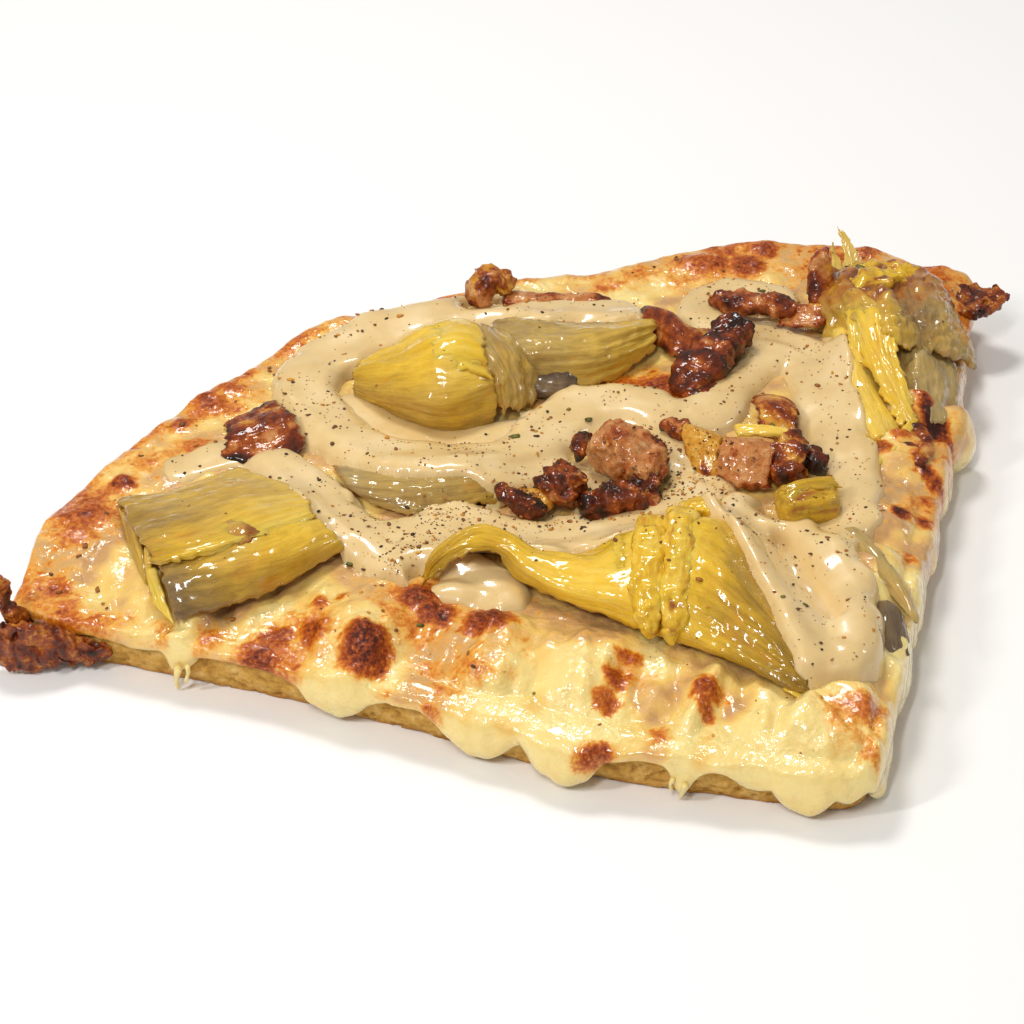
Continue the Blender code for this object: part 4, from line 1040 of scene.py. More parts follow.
# %% Guide curves of the front quarter with its curled leaf
FRONT_QUARTER = (
    leaf((((-41.6, 74.7, 13.2), (-38.2, 73.3, 16.5), (-33.3, 71.7, 19), (-29.1, 70.1, 18.3),
           (-27.4, 67, 14.6), (-24.5, 59.2, 14.6), (-19.9, 50.5, 14.9), (-15, 41.6, 15.1)),
          ((-41.3, 74.8, 13.6), (-38.2, 74.3, 17.6), (-32.5, 72.5, 20.3), (-28.3, 69.4, 19.8),
           (-26.2, 64.5, 18.2), (-23, 57.6, 18), (-18.5, 51.1, 19.3), (-13, 44.6, 19.8)),
          ((-40.7, 75.4, 13.8), (-38.4, 75.1, 18.2), (-31, 74.2, 21.2), (-26.7, 70.8, 20),
           (-23.2, 66.8, 18.2), (-19.4, 63, 18.8), (-14.6, 58.9, 19.8), (-7.3, 58.4, 22.4)),
          ((-40.5, 75.8, 13.9), (-38.6, 75.8, 18), (-31, 75, 20.7), (-26.5, 72.2, 19.8),
           (-22, 70.4, 16), (-17.5, 69, 13.8), (-12, 68, 13.5), (-5, 67, 13.5))),
         1.1, ((0.55, 0.5, 0.5, 0.5, 0.6, 0.7, 0.75, 0.8), (0.6, 0.62, 0.65, 0.7, 0.8, 0.85, 0.85, 0.88),
               (0.62, 0.66, 0.7, 0.74, 0.78, 0.8, 0.78, 0.78), (0.6,) * 8), 11,
         fibre=0.2, wave=0.8, torn=0.7),
    leaf((((-15, 41.4, 15), (-11.3, 35.9, 15), (-7, 28.5, 15), (-2.9, 20.2, 14.4), (-0.6, 17.2, 14.1)),
          ((-14, 43.6, 17.8), (-10.4, 37.8, 17.8), (-6.6, 30, 17), (-2.6, 21.2, 15.8),
           (-0.5, 17.5, 14.5)),
          ((-11.9, 46.2, 20.8), (-7.8, 40.1, 20.8), (-4.3, 31.9, 19.3), (-1.4, 23.2, 16.8),
           (-0.3, 18.1, 14.8)),
          ((-5.8, 50.2, 24.2), (-2.8, 44.4, 23.6), (-1, 35.7, 21.4), (0.6, 26.8, 18), (0.2, 18.4, 14.9)),
          ((1.8, 56.2, 23.4), (6.6, 51.9, 21.6), (6.3, 41.9, 18.6), (5.2, 29.9, 16), (1.3, 18.9, 14.6)),
          ((5, 61, 13.4), (12, 53, 13.4), (10.5, 41.5, 13.4), (8, 29, 13.4), (2.4, 18.4, 13.8))),
         1.8, ((0.78, 0.66, 0.48, 0.36, 0.34), (0.82, 0.7, 0.52, 0.38, 0.34), (0.84, 0.68, 0.48, 0.36, 0.34),
               (0.84, 0.66, 0.44, 0.36, 0.34), (0.8, 0.64, 0.44, 0.36, 0.34), (0.6,) * 5), 12,
         fibre=0.1, wave=0.8, torn=0.25, pebble=0.12),
    flesh(((-0.6, 63.4, 17, 2, 1.8), (-3.6, 60.4, 21.2, 2.7, 2), (-7.4, 55.6, 22.8, 3, 2.1),
           (-10.6, 51, 22.4, 2.7, 2), (-13.6, 46.4, 20.8, 3, 2.1), (-15.8, 42.4, 18.2, 2.6, 1.9),
           (-16.8, 40.2, 15.8, 1.9, 1.5)), 1, tone=0.8, uneven=0.75),
    flesh(((3.6, 61.8, 17, 2, 1.8), (1.4, 58.6, 22.2, 2.9, 2), (-2.8, 53, 23.8, 3.1, 2.1),
           (-6.4, 47.8, 23, 2.8, 2), (-9.8, 43.4, 21.2, 2.7, 2), (-12.6, 39.6, 18.4, 2.4, 1.8),
           (-14.4, 37.2, 15.6, 1.8, 1.4)), 3, tone=0.82, uneven=0.75),
    flesh(((-6.8, 63.6, 17, 2.2, 1.6), (-9, 59.4, 19.8, 2.8, 1.6), (-12.4, 54.4, 20.2, 2.8, 1.5),
           (-16.4, 49.2, 18.8, 2.2, 1.3)), 5, tone=0.78, uneven=0.5),
    flesh(((2.6, 63.6, 18, 1.8, 1.6), (6, 60.6, 21.4, 2.2, 1.7), (8.4, 57, 21, 1.8, 1.5)), 6,
          tone=0.76, uneven=0.6),
    leaf((((-2.6, 21.6, 14.4), (-0.7, 18.3, 13.9), (2.2, 15.3, 13.6)),
          ((-3.4, 20.3, 13.9), (-1.5, 17.1, 13.5), (2, 14.9, 13.4))), 0.6, 0.9, 15, torn=0.3, fibre=0.1),
)

# %% Guide curves of the corner quarter, the stem and the side leaves
CORNER_QUARTER = (
    leaf((((71, 120, 13.4), (64.8, 108.4, 13.8), (61.6, 99.4, 14), (60.2, 92.4, 14)),
          ((75.3, 118.1, 17), (67.9, 107.2, 20.4), (65.3, 98.2, 20.4), (62.9, 91.1, 19)),
          ((79.4, 114.4, 17.2), (72.8, 101.8, 23), (68.3, 92.9, 24.4), (65.4, 84.9, 22)),
          ((84.2, 112.4, 18.4), (78, 100.6, 20.4), (73.6, 91.4, 21.8), (70.4, 83, 19.2)),
          ((88.2, 111.4, 16), (84.6, 99.8, 20.2), (80.6, 90.4, 20.4), (76.8, 82.8, 16.6)),
          ((91, 109.6, 13), (90.2, 100, 14.6), (87.4, 90.8, 14), (83.6, 82, 11.4))),
         # Painted shade: the fourth guide runs along a hollow, and its tone dips there, most at its third
         # point.
         2, ((0.5, 0.5, 0.6, 0.7), (0.5, 0.52, 0.6, 0.7), (0.5, 0.56, 0.64, 0.7), (0.5, 0.44, 0.3, 0.46),
               (0.62, 0.6, 0.54, 0.56), (0.72, 0.68, 0.62, 0.56)), 16,
         grey=((0.3,) * 4, (0.35, 0.35, 0.25, 0.15), (0.4, 0.4, 0.3, 0.15), (0.4, 0.55, 0.8, 0.5),
               (0.5, 0.55, 0.7, 0.7), (0.5, 0.5, 0.6, 0.7)),
         toast=((0.3, 0.2, 0, 0), (0.6, 0.4, 0.1, 0), (0.85, 0.6, 0.15, 0), (0.7, 0.5, 0.1, 0),
                (0.6, 0.4, 0.2, 0.1), (0.4, 0.6, 0.4, 0.1)),
         fibre=0.26, wave=1.5, torn=1.4, pebble=0.8),
    flesh(((64, 93, 16, 2.6, 2.6), (70, 91.4, 17.6, 3.6, 3), (76.4, 89.4, 17, 3.2, 2.8),
           (81.6, 86.4, 14.6, 2.4, 2.2)), 7, tone=0.4, grey=0.6, uneven=1.3),
    flesh(((68.6, 104.4, 19.8, 2.2, 1.8), (72.8, 103.6, 22.6, 3, 2), (77.6, 103.8, 21.6, 2.8, 1.8),
           (82, 104.6, 19.2, 2, 1.4)), 8, tone=0.72, toast=0.35, uneven=1.3),
    flesh(((74.4, 112.4, 17.6, 2.2, 1.6), (79, 110, 19.8, 2.8, 1.8), (84, 106.4, 19.2, 2.6, 1.6),
           (87.6, 102, 17.2, 2, 1.4)), 9, tone=0.7, toast=0.5, uneven=1.3),
    leaf((((64.9, 99.5, 21.4), (60.1, 87.8, 19.8), (57.6, 76.7, 17), (56.6, 69.8, 14.6)),
          ((66.9, 94.3, 23.8), (61.7, 83.8, 21.6), (59.4, 74.3, 18.4), (58.2, 69.2, 15.6)),
          ((69, 90, 24.2), (63.4, 80.6, 20.8), (61, 72.8, 17.4), (59.4, 68.4, 14.8))),
         1.3, 0.9, 17, toast=0.1, fibre=0.4, wave=0.9, torn=1.3, pebble=0.15),
    leaf((((66.8, 102.5, 21.8), (61.6, 94.6, 20), (58.2, 88.2, 17.4)),
          ((68.4, 99.4, 23.2), (63.4, 91.6, 21.4), (59.6, 84, 18.2))),
         1.2, 0.86, 29, toast=0.1, fibre=0.35, torn=1.2),
    leaf((((58.7, 70.2, 15.7), (53.4, 67.2, 15.4), (48, 65.3, 15.1), (43.3, 62.8, 14.5)),
          ((58.9, 68.1, 15.3), (53.3, 64.8, 15), (47.7, 62.8, 14.8), (43.2, 60.6, 14.5))),
         0.9, 0.9, 18, fibre=0.15, wave=0.2, torn=0.5),
    leaf((((63.4, 102.6, 13.4), (57, 90.6, 13.4), (50, 78.5, 13.3), (48.5, 69.6, 13.2)),
          ((63.6, 98.9, 18), (57.5, 86, 17.4), (53.2, 74.4, 16.4), (51.7, 68, 15.2)),
          ((66.7, 93, 15), (60.2, 80, 14.6), (57.4, 71.2, 14.2), (55.2, 66.6, 13.2))),
         1.6, 0.98, 19, grey=0.1, fibre=0.08, wave=0.9, torn=0.6),
    leaf((((65.6, 88.6, 20), (64.8, 83.3, 17), (63, 77.7, 15.2), (60.2, 71.1, 14)),
          ((70.6, 88, 20.6), (68.6, 82.2, 18), (66, 75.6, 16.4), (62.8, 69.4, 14.6)),
          ((76.6, 87.8, 18.2), (73.8, 81.6, 16.6), (69.8, 74.6, 15.4), (65.2, 67.8, 13.4)),
          ((82.4, 87.6, 14), (78.4, 81, 13), (73, 73.6, 12.2), (67.6, 66.4, 11))),
         0.9, 0.55, 20, grey=0.9, fibre=0.08, wave=1.7, torn=1, pebble=0.4),
    leaf((((83, 117, 15), (79.5, 117.6, 17), (75.5, 119, 14.6)),
          ((87.6, 112.6, 15.6), (83, 112, 18.6), (77.5, 113.8, 18))),
         1.3, 0.5, 21, grey=0.2, torn=1.1),
    leaf((((79, 119.4, 14), (80.6, 122.6, 17.6), (81.4, 126, 20.8)),
          ((82, 117.4, 14), (82.8, 120.4, 17.2), (82.4, 124.6, 20))),
         0.6, 1, 22, grey=0.3, torn=0.9),
    leaf((((78.6, 117.8, 15), (78.2, 120.4, 17), (79, 123.6, 19)),
          ((76.2, 118, 15), (76.4, 120, 16.6), (77.6, 122.6, 18.4))),
         0.6, 0.95, 30, grey=0.3, torn=0.7),
)
STEM_PIECE = (
    flesh(((20.4, 57.2, 17, 3.9, 3.5), (24, 56.6, 17.4, 4.3, 3.8), (28, 55.8, 17.4, 4.2, 3.7),
           (31.6, 55.2, 17, 3.7, 3.3)), 10, tone=0.52, toast=0.06, uneven=0.35, cut=0.4),
    leaf((((22, 61.2, 15.6), (26, 60.4, 16), (31.6, 59.4, 15.4)),
          ((21.6, 58.8, 20.2), (26, 58.2, 21), (32, 57.2, 20)),
          ((21.8, 55.8, 20.6), (26.4, 55.2, 21.2), (31.8, 54.4, 20.2))),
         0.9, 0.5, 23, fibre=0.3, wave=0.3, torn=0.8),
    leaf((((28.3, 82.5, 17.5), (31.4, 79.5, 18.4), (35, 76.4, 18), (35.9, 71.1, 16.8)),
          ((26.9, 80.9, 16.6), (30.2, 77.7, 17.2), (34, 74.9, 16.8), (35, 71.3, 15.6))),
         0.9, 1, 24, fibre=0.2, wave=0.3, torn=0.7),
)
SIDE_LEAVES = (
    leaf((((26.6, 49.5, 14.6), (26.2, 40.2, 14.4), (26.2, 30.9, 14.2), (25.7, 23.4, 13.8)),
          ((28.9, 47.4, 17), (28.3, 38.2, 16.8), (27.8, 30.6, 15.4), (26, 23.4, 13.9)),
          ((31.9, 44.2, 14.4), (30.6, 37.4, 13.9), (29.5, 30.6, 13.6), (26.4, 23.5, 13.6))),
         1.2, 0.66, 25, grey=0.8, fibre=0.05, wave=0.6, torn=0.2),
    leaf((((22.7, 32.2, 14), (17.6, 25.8, 13.2), (15, 20.3, 12.4)),
          ((24.4, 29, 14.6), (20.6, 24, 13.8), (18.4, 19.6, 12.6)),
          ((25.8, 26.4, 13.2), (23.9, 22.5, 12.4), (21.6, 19.1, 11.9))),
         1.2, 0.1, 26, grey=0.9, fibre=0.08, wave=1.2, torn=0.4),
)
print("artichoke leaves are worked out")


# %% [markdown]
# ### The finish of the artichoke
# Marinated artichoke: wet, fibrous plant tissue, half see-through, under oil. Its colour follows the
# leaf: olive and grey outside, clear yellow inside, brown along torn borders, with streaks less than a
# millimetre across along the fibres. The oil is a coat with smooth waves of 2.6 mm, as on the cheese.

# %% Marinated artichoke material
def marinated_artichoke(tree):
    """Oily, fibrous leaf, coloured by its tone, grey and toast attributes, streaked along its grain."""
    where = add(tree, "TexCoord", out="Object")
    grain = add(tree, "Attribute", attribute_name="grain", out="Vector")
    tone, grey, border = (add(tree, "Attribute", attribute_name=name, out="Fac")
                          for name in ("tone", "grey", "border"))
    lengthwise = add(tree, "Mapping", grain, Scale=(0.16, 1.0, 1.0))
    streaks = add(tree, "TexNoise", lengthwise, Scale=1.35, Detail=6.0, Roughness=0.7, Distortion=0.35)
    blotches = add(tree, "TexNoise", where, Scale=1000 / 3.2, Detail=4.0, Roughness=0.6)
    ripe = add(tree, "Math", streaks, 0.62, add(tree, "Math", tone, 0.48, operation="SUBTRACT"),
               operation="MULTIPLY_ADD")
    ripe = add(tree, "Math", blotches, 0.3, ripe, operation="MULTIPLY_ADD", use_clamp=True)
    yellow = add(tree, "ValToRGB", ripe, stops=((0.0, "#64460C"), (0.2, "#8E6A0E"), (0.4, "#B58A12"),
                                                (0.6, "#D6A71C"), (0.8, "#ECBE2A"), (1.0, "#F5CF56")))
    glassy = add(tree, "ValToRGB", ripe, stops=((0.0, "#5E4A3C"), (0.4, "#967B4C"), (0.7, "#BEA466"),
                                                (1.0, "#DCC68C")))
    colour = add(tree, "MixRGB", grey, yellow, glassy)
    ragged = add(tree, "Math", blotches, 0.3, border, operation="MULTIPLY_ADD")
    worn = add(tree, "MapRange", ragged, 1.04, 1.2, 0.0, 0.45)
    colour = add(tree, "MixRGB", worn, colour, linear("#8F5C1A"))
    # The toast attribute is real browning, and in the hollows of leaves and torn flesh it is painted shade.
    toast = add(tree, "Attribute", attribute_name="toast", out="Fac")
    toasted = add(tree, "Math", blotches, 0.5, add(tree, "Math", toast, 0.25, operation="SUBTRACT"),
                  operation="MULTIPLY_ADD")
    browned = add(tree, "ValToRGB", toasted, stops=((0.1, "#D8901E"), (0.4, "#B4640E"), (0.7, "#6E2E08")))
    colour = add(tree, "MixRGB", add(tree, "MapRange", toasted, 0.1, 0.55, 0.0, 0.92), colour, browned)
    film = add(tree, "TexNoise", where, Scale=1000 / 2.6, Detail=1.0)
    under = add(tree, "Bump", Height=streaks, Distance=0.42 * MM)
    wet = add(tree, "Bump", Height=film, Distance=0.35 * MM)
    return add(
        tree, "BsdfPrincipled", colour, Roughness=0.4, IOR=1.36, Normal=under, Coat_Normal=wet,
        Subsurface_Weight=0.25, Subsurface_Radius=(1.0, 0.7, 0.16), Subsurface_Scale=1.2 * MM,
        Coat_Weight=0.9, Coat_Roughness=0.12, Specular_IOR_Level=0.3)


ARTICHOKE = new_material("marinated_artichoke", marinated_artichoke)
ARTICHOKE_PIECES = {
    "artichoke_left_quarter": (LEFT_QUARTER, ("artichoke_left",)),
    "artichoke_heart_quarter": (HEART_QUARTER, ("artichoke_heart",)),
    "artichoke_back_quarter": (BACK_QUARTER, ("artichoke_back_petal",)),
    "artichoke_flat_leaf": (FLAT_LEAF, ("artichoke_flat_petal",)),
    "artichoke_front_quarter": (FRONT_QUARTER, ("artichoke_front", "artichoke_curl")),
    "artichoke_corner_quarter": (CORNER_QUARTER, ("artichoke_corner",)),
    "artichoke_cut_stem": (STEM_PIECE, ("artichoke_stem",)),
    "artichoke_side_leaves": (SIDE_LEAVES, ("artichoke_side_petal",)),
}
for name, (leaves, nodes) in ARTICHOKE_PIECES.items():
    new_piece(name, *joined(leaves), ARTICHOKE, "artichoke_heart", *nodes)


# %% [markdown]
# ## Bacon
# Thick-cut bacon was fried before it went on. Each piece has lean meat that went from rose to deep
# brown, bands of clear amber fat, and charred ends. The flat ones are leaves with a ragged border, and
# the thick ones are lumps, because a fried piece curls up into a knob that has no face and no back.

# %% A flat piece of bacon
def rasher(guides, thick, seed, lean=0.8, char=0.2, torn=0.9):
    """A flat piece of bacon: a leaf with a wavy middle, whose lean and fat lie in bands across it and
    whose border is the most charred."""
    points, quads, leaf_values = leaf(guides, thick, 0.5, 30 + seed, torn=torn, wave=0.45)
    grain = leaf_values["grain"]
    bands = noise(grain * (0.3, 1, 1), 3.4, 121) + 0.35 * noise(grain, 1.6, 122)
    lean_value = lean + 0.75 * bands
    burnt = char + 0.5 * smooth_step(0.6, 1.0, leaf_values["border"]) * (0.5 + noise(grain, 2.2, 123))
    burnt = burnt + 0.4 * rough(grain, 3.4, 3, 124)
    return points, quads, {"lean": np.clip(lean_value, 0, 1), "char": np.clip(burnt, 0, 1)}


# %% Bacon pieces
BACON_PIECES = {
    "bacon_left": (
        rasher((((-51.5, 133.6, 14), (-46.2, 134.4, 14.6), (-40.8, 135.6, 14.6)),
                ((-53.4, 128, 15.6), (-47.6, 126.4, 16.4), (-41, 127, 16.4)),
                ((-56.6, 124.7, 13.8), (-50.4, 119.4, 14), (-41.9, 118.8, 14.2))),
               1.6, 1, lean=0.45, char=0.34),
    ),
    "bacon_back_curl": (
        lump(((7.6, 146, 14.4, 2.6, 1.8), (9.4, 145.4, 18, 3.4, 2.4), (12.4, 144.4, 20, 2.8, 2.2),
              (15, 142.6, 17.6, 2.2, 1.8)), 2, uneven=1.1, lean=0.3, char=0.14),
        lump(((12.8, 142.8, 15.8, 2.6, 1.8), (17.6, 140.4, 15.6, 2.1, 1.3), (24.6, 137, 15.4, 1.9, 0.9),
              (32.4, 133.2, 15.2, 1.4, 0.7)), 3, uneven=0.5, lean=0.95, char=0.12),
    ),
    "bacon_centre_lump": (
        lump(((8.4, 78, 15.6, 3.6, 2.6), (6.8, 81, 17.6, 4.9, 3.6), (4.8, 86, 18.6, 5.3, 4.2),
              (3.6, 91.2, 17.6, 4, 3.2)), 4, uneven=1, lean=1, char=0.05),
        lump(((7.4, 88.6, 18.6, 1.4, 1.6), (9.8, 84.8, 18, 2.2, 2.6), (10, 80.2, 16.6, 2, 2.4),
              (7, 77, 15.8, 1.8, 1.8)), 5, uneven=1, lean=0.3, char=0.55),
        lump(((-1.4, 88.6, 16.8, 1.4, 1.6), (0.2, 91.8, 17.4, 1.6, 1.6), (3.6, 94, 16.8, 1.6, 1.4)), 25,
             uneven=0.8, lean=0.3, char=0.6),
    ),
    "bacon_centre_crisp": (
        lump(((-11.4, 80.2, 15.6, 2.6, 2.4), (-8.6, 82.4, 17.4, 3.9, 3.4), (-5.2, 83.6, 18.2, 3.2, 3)), 6,
             uneven=1.7, lean=0.7, char=0.38),
        lump(((-8.6, 77.4, 15.2, 2.6, 2.2), (-3, 76.2, 16, 3.4, 2.8), (2.6, 75.6, 16, 3.4, 2.8),
              (7, 76.2, 15.6, 2.6, 2)), 7, uneven=1.6, lean=0.9, char=0.56),
    ),
    "bacon_centre_sliver": (
        lump(((-20, 87.4, 18.2, 1, 1.2), (-18.6, 84.4, 17.4, 1.7, 1.8), (-16.2, 81.4, 16, 2, 1.8),
              (-13.6, 79.6, 15, 1.8, 1.4)), 8, uneven=0.7, lean=0.6, char=0.6),
        lump(((-17.6, 87, 15.4, 1.2, 1.2), (-14.4, 83.4, 15.8, 1.9, 1.7), (-11.6, 80.6, 15.2, 1.6, 1.3)), 9,
             uneven=0.7, lean=0.25, char=0.2),
    ),
    "bacon_dark": (
        lump(((26.4, 100.2, 14.6, 2.6, 1.6), (31.6, 101.6, 16.2, 4.6, 2.6), (37, 103.6, 17.4, 4.2, 3),
              (41, 105.2, 17.8, 3.2, 2.8)), 10, uneven=0.7, lean=0.9, char=0.5),
        lump(((37.6, 104.2, 17.4, 2.8, 2.6), (42.6, 106.4, 18.4, 3.7, 3.2), (47, 108.6, 18, 3.1, 2.7)),
             31, uneven=1.1, lean=0.9, char=0.74),
        lump(((28, 96.6, 14.4, 2.2, 1.2), (31, 98.6, 15, 2.8, 1.8), (34, 100, 15, 2, 1.4)), 11,
             uneven=0.7, lean=0.95, char=0.38),
    ),
    "bacon_amber": (
        rasher((((36.4, 127, 14.4), (38.6, 121.6, 15.6), (39.4, 116.4, 15.8), (42.8, 112.6, 15)),
                ((34.2, 124.4, 16.4), (36, 118.6, 17.6), (36.4, 113.4, 17.2), (39.6, 110, 16.2)),
                ((32.4, 121.4, 14), (32.6, 115.6, 14.2), (33.8, 110.6, 14.2), (37, 107.6, 14.2))),
               1.8, 12, lean=0.5, char=0.36, torn=1.3),
        rasher((((40.6, 118.6, 13.8), (43.4, 115.2, 14.4), (45.6, 111, 14.6)),
                ((38.6, 114.6, 15.6), (41.2, 111.6, 16.4), (43.4, 108.6, 16.6))),
               1.4, 32, lean=0.1, char=0.1),
    ),
    "bacon_right_strip": (
        lump(((48, 122.4, 16, 1.8, 1.4), (52.6, 118, 16.8, 2.9, 1.6), (56.8, 113.8, 17.2, 3, 1.7),
              (60.6, 109.4, 16.8, 2.6, 1.6)), 13, uneven=1, lean=0.9, char=0.4),
        rasher((((58.6, 114.6, 15.8), (62, 110.4, 17.2), (65.8, 107.6, 17.8), (71.4, 106.4, 18.4)),
                ((55.9, 109.4, 15), (59.6, 104.8, 15.8), (64.2, 103.4, 16.6), (70.6, 103.6, 17.6))),
               1.3, 14, lean=0.75, char=0.16, torn=1.2),
    ),
    "bacon_upright": (
        lump(((65.4, 106.6, 15.4, 2.8, 1.8), (66.8, 110.4, 18.4, 2.9, 1.3), (67.6, 112.2, 22, 2.6, 1),
              (68.6, 112.8, 25.2, 2, 0.9), (69.2, 112.6, 27, 1.2, 0.7)), 15,
             uneven=0.7, lean=0.55, char=0.32),
    ),
    "bacon_rose": (
        rasher((((20.6, 90, 14.6), (21.6, 86, 15.4), (24.2, 81, 15.4)),
                ((18.9, 85.6, 17.4), (19.8, 81.8, 18.4), (22, 77.8, 18.2)),
                ((15.6, 79, 13.8), (17, 75.6, 14), (19.4, 74.4, 14.2))),
               2.4, 16, lean=-0.1, char=-0.05),
        lump(((17.8, 90.6, 16.4, 1.4, 1.2), (18.4, 87.2, 17.2, 1.8, 1.6), (19.6, 84.4, 17.8, 1.3, 1.2)), 33,
             uneven=0.9, lean=0.5, char=0.4),
        rasher((((24.6, 81.2, 15.4), (28, 77.8, 16.4), (32.2, 75.4, 16)),
                ((21.4, 77.2, 18), (24.6, 73.2, 19), (29, 71, 18.4)),
                ((18.9, 74.6, 14.4), (20.8, 69.8, 14.4), (24.8, 66.2, 14.6))), 2.6, 17, lean=1.1, char=-0.05),
        lump(((35, 75.6, 16.8, 1.8, 2.2), (32.4, 71, 17, 3.2, 3), (29.4, 67.2, 16.4, 3.2, 2.6),
              (26.8, 65.4, 15.6, 2, 1.6)), 18, uneven=1.2, lean=0.35, char=0.36),
        lump(((33.6, 69, 17.4, 1.7, 2), (34.8, 66.2, 17.2, 2.3, 2.2), (34, 63.8, 16.2, 1.5, 1.5)), 19,
             uneven=1.2, lean=0.9, char=0.85),
    ),
    "bacon_orange": (
        rasher((((38.9, 91.8, 14.4), (42.4, 88.8, 14.8), (42.8, 84.4, 14.8)),
                ((35.6, 86.4, 16.4), (38.2, 83.2, 17.2), (40, 80, 16.8)),
                ((33, 81.4, 14.2), (36, 78, 14.4), (38, 75.9, 14.4))), 1.6, 20, lean=0.2, char=0.26,
               torn=1.3),
    ),
    "bacon_side": (
        lump(((51.6, 58.8, 14.2, 1.6, 1), (56, 64, 14.4, 2.4, 1.2), (60.6, 69.6, 14.4, 1.8, 1)), 21,
             uneven=1, lean=0.4, char=0.34),
    ),
}


# %% [markdown]
# ### The finish of the bacon
# Fried bacon: lean muscle is rose inside and red-brown where it fried, fat is clear amber, and charred
# ends are nearly black and rough. All of it is wet with its own fat, a coat with waves of 2 mm.

# %% Fried bacon material
def fried_bacon(tree):
    """Lean, fat and char mixed by their attributes, with a short meat grain and a wet surface."""
    where = add(tree, "TexCoord", out="Object")
    lean, char = (add(tree, "Attribute", attribute_name=name, out="Fac") for name in ("lean", "char"))
    grain = add(tree, "TexNoise", where, Scale=1000 / 1.6, Detail=5.0, Roughness=0.65)
    bubbles = add(tree, "TexNoise", where, Scale=1000 / 0.8, Detail=4.0, Roughness=0.7)
    meat = add(tree, "ValToRGB", grain, stops=((0.25, "#A85C22"), (0.45, "#C67C40"), (0.6, "#D8985C"),
                                               (0.75, "#E8BC8A")))
    fat = add(tree, "ValToRGB", grain, stops=((0.25, "#BC7412"), (0.5, "#DC9C30"), (0.7, "#ECC264")))
    muscle = add(tree, "MapRange", lean, 0.35, 0.62, interpolation_type="SMOOTHSTEP")
    raw = add(tree, "MixRGB", muscle, fat, meat)
    fried = add(tree, "Math", bubbles, 0.8, add(tree, "Math", char, 0.4, operation="SUBTRACT"),
                operation="MULTIPLY_ADD", use_clamp=True)
    crust = add(tree, "ValToRGB", fried, stops=((0.0, "#C86E16"), (0.3, "#A04808"), (0.54, "#702803"),
                                                (0.8, "#3A1604"), (1.0, "#1E0F08")))
    browned = add(tree, "MapRange", fried, 0.06, 0.34, interpolation_type="SMOOTHSTEP")
    colour = add(tree, "MixRGB", browned, raw, crust)
    dry = add(tree, "MapRange", fried, 0.1, 1.0, 0.4, 0.62)
    fat_film = add(tree, "TexNoise", where, Scale=1000 / 2.0, Detail=1.5)
    under = add(tree, "Bump", Height=grain, Distance=0.4 * MM)
    crackled = add(tree, "Bump", Height=bubbles, Distance=0.25 * MM, Normal=under)
    wet = add(tree, "Bump", Height=fat_film, Distance=0.4 * MM)
    return add(
        tree, "BsdfPrincipled", colour, Roughness=dry, IOR=1.34, Normal=crackled, Coat_Normal=wet,
        Subsurface_Weight=0.1, Subsurface_Radius=(1.0, 0.45, 0.16), Subsurface_Scale=1.2 * MM,
        Coat_Weight=0.65, Coat_Roughness=0.12, Specular_IOR_Level=0.25)


BACON = new_material("fried_bacon", fried_bacon)
for name, parts in BACON_PIECES.items():
    new_piece(f"{name}_piece", *joined(parts), BACON, "crisp_bacon", name)


# %% [markdown]
# ## Burnt cheese at the corners
# Cheese that ran onto the pan turned to brittle, blistered crisps, dark brown to black. They are lumps
# again, bitten all over and with small spikes, and wear the bacon's finish at its most charred: both
# are burnt protein under hot fat.

# %% Burnt crisps
FINE_CELL = 0.3


def noise_vector(points, size, seed):
    """Three independent noises as a vector."""
    return np.stack([noise(points, size, seed + k) for k in range(3)], axis=-1)


def burnt_lace(stations, seed):
    """A bitten, blistered lump: its outline is pushed in and out as much as its own size, and small
    spikes stand out of it where noise is highest."""
    points, quads, values = lump(stations, 30 + seed, uneven=1.3, cell=FINE_CELL, lean=0.05, char=0.4)
    tall = smooth_step(0.45, 0.9, noise(points, 2.2, 133 + seed))
    spikes = 0.9 * rough(points, 3.0, 2, 130 + seed) + 2.2 * tall
    points = points + spikes[:, None] * unit(noise_vector(points, 3.0, 140 + seed))
    values["char"] = np.clip(0.42 + 0.55 * rough(points, 2.6, 3, 150 + seed), 0.28, 1)
    return points, quads, values


CRISP_PIECES = {
    "crisp_left": (((-91.5, 95, 3.5, 1, 2.5), (-97, 98.5, 4.5, 1.2, 3.6),
                    (-102.5, 100.5, 5.6, 1.3, 4.6), (-107, 103.2, 6.3, 1.3, 4.8),
                    (-109.6, 105.8, 7.6, 0.9, 2.4)), 1),
    "crisp_left_spike": (((-104, 104.5, 7, 2.4, 1), (-105.5, 106.5, 12, 2.2, 1),
                          (-106, 108, 16, 1.6, 0.8), (-105.8, 108.8, 18.6, 0.7, 0.6)), 2),
    "crisp_right": (((94, 103.4, 11, 5.6, 1.2), (98.6, 101.4, 11.4, 5.2, 1.3),
                     (102, 99.4, 11.8, 3.4, 1.1), (104.6, 98, 12.4, 1.4, 0.8)), 3),
}
for name, (stations, seed) in CRISP_PIECES.items():
    new_piece(f"{name}_lace", *burnt_lace(stations, seed), BACON, "burnt_cheese", name)


# %% [markdown]
# ## The dressing
# A creamy dressing was poured over the toppings in ribbons. It is thick enough to keep a rounded edge,
# and soft enough to sag over what lies under it and to run together where ribbons cross. Tubes along
# the ribbons would show where they join. So it is a height over a plan: the height of what lies below,
# smoothed, plus a thickness that rises from the ribbon's edge like a quarter of an oval.

